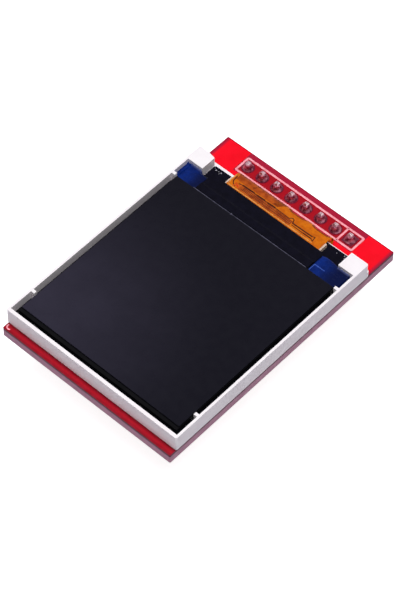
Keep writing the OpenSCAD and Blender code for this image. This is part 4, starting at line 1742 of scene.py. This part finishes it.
        # Painted shadow at the slots' edges.
        slot_shades = [
            Stroke(tuple((middle + x, y) for x, y in self.bend.path), self.bend.width, self.bend.rise)
            for middle in self.slot_shade_x
        ]
        points, faces = join([self.raised(self.ground_patch), *map(self.drawn, (self.smudge, *slot_shades))])
        return add_piece("ribbon_ground_and_shade", points, faces, UMBER, Slot.RIBBON, 60)

    def lines(self) -> bpy.types.Object:
        """Draws the dark lines: the long one with its dashes and bump, the loop, the comb between them, and
        the painted shade along the fold.

        Returns:
            The piece.
        """
        dashes = [Stroke(((start, 36.57), (end, 36.61)), 0.27, 2.4) for start, end in self.dashes]
        comb = [Stroke(((x, 35.98), (x + 0.05, 36.4)), 0.09) for x in np.arange(*self.comb_x)]
        strokes = (*self.lead, *dashes, *comb, *self.frame_and_fold_shade_lines)
        points, faces = join([self.drawn(stroke) for stroke in strokes])
        return add_piece("ribbon_lines", points, faces, LINE, Slot.RIBBON, 60)

    def ember(self) -> bpy.types.Object:
        """Shapes the two crossed, reddish pads at the ribbon's left."""
        points, faces = join([self.drawn(stroke) for stroke in self.ember_strokes])
        return add_piece("ribbon_pads", points, faces, EMBER, Slot.RIBBON, 60)

    def rim(self) -> bpy.types.Object:
        """Runs the pale rim along the ribbon's front edge and down its left side: partly the bare film
        margin, partly a painted highlight of its edge.
        """
        return add_piece("ribbon_rim", *self.drawn(self.rim_stroke), AMBER_RIM, Slot.RIBBON, 60)


@dataclass
class BackParts(Assembly):
    """The small parts soldered on the back of the board.

    Attributes:
        chips: Each kind of chip part's ends, their number in a row, and the height of their solder.
        chip_width: Width of a chip part.
        legs: The nodes of the legs.
        leg_inset: Distance of the outer legs' middles from the ends of their row.
        leg_width: Width of the solder under a leg.
        leg_height: Height of the solder under a leg.
        reach: How far solder spreads from what it holds.
        overlap: How far it reaches under what it holds.
    """

    chips: tuple[tuple[str, int, float], ...] = (("resistor_ends", 5, 0.3), ("capacitor_ends", 3, 0.45))
    chip_width: float = 0.8
    legs: tuple[str, ...] = ("regulator_legs", "transistor_legs")
    leg_inset: float = 0.2
    leg_width: float = 0.5
    leg_height: float = 0.14
    reach: float = 0.3
    overlap: float = 0.02

    def dress(self) -> None:
        """Finishes the bodies, legs and metal ends."""
        for node in ("regulator", "transistor"):
            soften(node, BLACK, Edge.ROUND)
            soften(f"{node}_legs", TIN)
        soften("resistors", RESISTIVE, Edge.EASED)
        soften("capacitors", CERAMIC, Edge.SOFT)
        soften("resistor_ends", TIN)
        soften("capacitor_ends", TIN)

    def pieces(self) -> list[bpy.types.Object]:
        """Builds the solder."""
        return [self.fillets()]

    def fillets(self) -> bpy.types.Object:
        """Heaps solder at both ends of each chip part and under each leg.

        Returns:
            The piece.
        """
        heaps = []
        for node, count, height in self.chips:
            low, high = corner(node, False), corner(node, True)
            half = self.chip_width / 2
            for centre in np.linspace(low[0] + half, high[0] - half, count):
                for edge, side in ((low[1], -1), (high[1], 1)):
                    heaps.append(self.heap(centre, edge, side, self.chip_width, height))
        for node in self.legs:
            low, high = corner(node, False), corner(node, True)
            for centre in (low[0] + self.leg_inset, high[0] - self.leg_inset):
                heaps.append(self.heap(centre, high[1], 1, self.leg_width, self.leg_height))
            heaps.append(self.heap((low[0] + high[0]) / 2, low[1], -1, self.leg_width, self.leg_height))
        points, faces = join(heaps)
        return add_piece("solder_fillets", points, faces, FILLET, Slot.METAL, 60)

    def heap(self, x: float, y: float, side: int, width: float, height: float) -> Shell:
        """Makes one heap of solder under the board: half a dome.

        Its height falls as 1 - r ** 2 for r from 0 at the part to 1 at the pad's edge, and as
        1 - 0.3 * a ** 2 for a from -1 to 1 across it. Its width shrinks by a quarter of r ** 2.

        Args:
            x: Its middle.
            y: Where it meets the part.
            side: 1 where it spreads towards +Y, -1 towards -Y.
            width: Its width.
            height: Its height at the part.

        Returns:
            The points and the faces.
        """
        out, across = grid(np.linspace(0, 1, 9), np.linspace(-1, 1, 11))
        fall = height * (1 - out**2) * (1 - 0.3 * across**2)
        flat_x = x + across * width / 2 * (1 - 0.25 * out**2)
        flat_y = y + side * (out * self.reach - self.overlap)
        lower = np.stack([flat_x, flat_y, UNDERSIDE - 0.004 - fall], -1)
        upper = np.stack([flat_x, flat_y, np.full_like(flat_x, UNDERSIDE)], -1)
        return sandwich(lower, upper)


# ---------------------------------------------------------------- studio


@dataclass(frozen=True)
class Lamp:
    """A soft square lamp that faces the part.

    Attributes:
        name: Its name.
        place: Its place in metres.
        size: Its side in metres.
        watts: Its power.
    """

    name: str
    place: Place
    size: float
    watts: float

    def hang(self) -> None:
        """Hangs the lamp: tilted by the angle off the vertical, and turned to the part's side."""
        data = bpy.data.lights.new(self.name, "AREA")
        data.shape = "SQUARE"
        data.size = self.size
        data.energy = self.watts
        lamp = bpy.data.objects.new(self.name, data)
        towards = -np.array(self.place) / np.linalg.norm(self.place)
        lamp.location = self.place
        lamp.rotation_euler = (math.acos(-towards[2]), 0, math.atan2(towards[1], towards[0]) - math.pi / 2)
        bpy.context.scene.collection.objects.link(lamp)


@dataclass
class Studio:
    """The floor, the soft light and the camera.

    Attributes:
        eye: Place of the camera, in millimetres.
        turn: Its rotation in degrees.
        lens: Its focal length, in millimetres.
        sensor: Height of the sensor, in millimetres.
        ambient: Even light of the room.
        ceiling: Brightness straight above that glass and metal mirror; the horizon is white.
        lamps: The lamps.
        floor_tones: The two tones of the floor.
        floor_white: How much of its own light the floor shows to the camera.
        floor_reach: Half of the floor's side, in metres.
        floor_gap: Gap between the pins and the floor, in metres.
    """

    eye: Place = (145.394, -178.9, 293.025)
    turn: tuple[float, float, float] = (36.5822, -0.0784, 42.4139)
    lens: float = 112.648
    sensor: float = 24.0
    ambient: float = 0.1
    ceiling: float = 0.35
    lamps: tuple[Lamp, ...] = (
        Lamp("key", (0.12, -0.08, 0.95), 0.6, 8.8),
        Lamp("fill", (-0.7, -0.4, 0.6), 0.6, 0.6),
    )
    floor_tones: tuple[Colour, Colour] = ((0.68, 0.67, 0.72), (0.7, 0.69, 0.74))
    floor_white: float = 0.88
    floor_reach: float = 3.0
    floor_gap: float = 0.0001

    def camera(self) -> None:
        """Sets up the camera that looks down on the screen over its front right corner."""
        data = bpy.data.cameras.new("camera")
        data.sensor_fit = "VERTICAL"
        data.sensor_height = self.sensor
        data.lens = self.lens
        data.clip_start = 0.01
        data.clip_end = 20
        eye = bpy.data.objects.new("camera", data)
        eye.location = tuple(axis * MM for axis in self.eye)
        eye.rotation_euler = tuple(math.radians(angle) for angle in self.turn)
        bpy.context.scene.collection.objects.link(eye)
        bpy.context.scene.camera = eye

    def floor(self) -> None:
        """Lays a wide pale floor under the pins."""
        level = CAD_BOX[0][2] - self.floor_gap
        reach = self.floor_reach
        mesh = bpy.data.meshes.new("floor")
        sides = ((-1, -1), (1, -1), (1, 1), (-1, 1))
        corners = [(x * reach, y * reach, level) for x, y in sides]
        mesh.from_pydata(corners, [], [(0, 1, 2, 3)])
        graph = Surface("floor")
        shade = graph.mix(graph.noise(60.0), *self.floor_tones)
        graph.link(shade, graph.shader.inputs["Base Color"])
        graph.shader.inputs["Roughness"].default_value = 0.9
        graph.shader.inputs["Specular IOR Level"].default_value = 0.1
        graph.shader.inputs["Emission Color"].default_value = (1, 1, 1, 1)
        path = graph.node("ShaderNodeLightPath").outputs
        seen = graph.math("MAXIMUM", path["Is Camera Ray"], path["Is Transmission Ray"])
        lit = graph.math("MULTIPLY", seen, self.floor_white)
        graph.link(lit, graph.shader.inputs["Emission Strength"])
        mesh.materials.append(graph.material)
        floor = bpy.data.objects.new("floor", mesh)
        bpy.context.scene.collection.objects.link(floor)

    def world(self) -> None:
        """Lights the room evenly; camera, glass and metal see a white horizon under a dimmer ceiling.

        What glass and metal mirror falls from 1 at the horizon to the ceiling's value with the height to the
        power 0.8.
        """
        world = bpy.data.worlds.new("room")
        world.use_nodes = True
        graph = Graph(world.node_tree)
        back = world.node_tree.nodes["Background"]
        back.inputs["Color"].default_value = (1, 1, 1, 1)
        path = graph.node("ShaderNodeLightPath").outputs
        split = graph.node("ShaderNodeSeparateXYZ")
        graph.link(graph.node("ShaderNodeTexCoord").outputs["Generated"], split.inputs[0])
        height = graph.math("MAXIMUM", split.outputs["Z"], 0.0)
        ceiling = graph.math("MULTIPLY_ADD", graph.math("POWER", height, 0.8), self.ceiling - 1.0, 1.0)
        mirrored = graph.math("MAXIMUM", path["Is Glossy Ray"], path["Is Transmission Ray"])
        above = graph.math("SUBTRACT", ceiling, self.ambient)
        room = graph.math("MULTIPLY_ADD", mirrored, above, self.ambient)
        seen = graph.math("MULTIPLY_ADD", path["Is Camera Ray"], graph.math("SUBTRACT", 1.0, room), room)
        graph.link(seen, back.inputs["Strength"])
        bpy.context.scene.world = world

    def build(self) -> None:
        """Builds the whole studio."""
        self.camera()
        self.floor()
        self.world()
        for lamp in self.lamps:
            lamp.hang()
        bpy.context.scene.view_settings.view_transform = "Standard"


def main() -> None:
    """Builds the studio and the sub-assemblies in order."""
    logging.basicConfig(level=logging.INFO, format="%(name)s %(message)s")
    Studio().build()
    for assembly in (Board(), Header(), Backlight(), Panel(), Ribbon(), BackParts()):
        assembly.build()


if __name__ == "__main__":
    main()
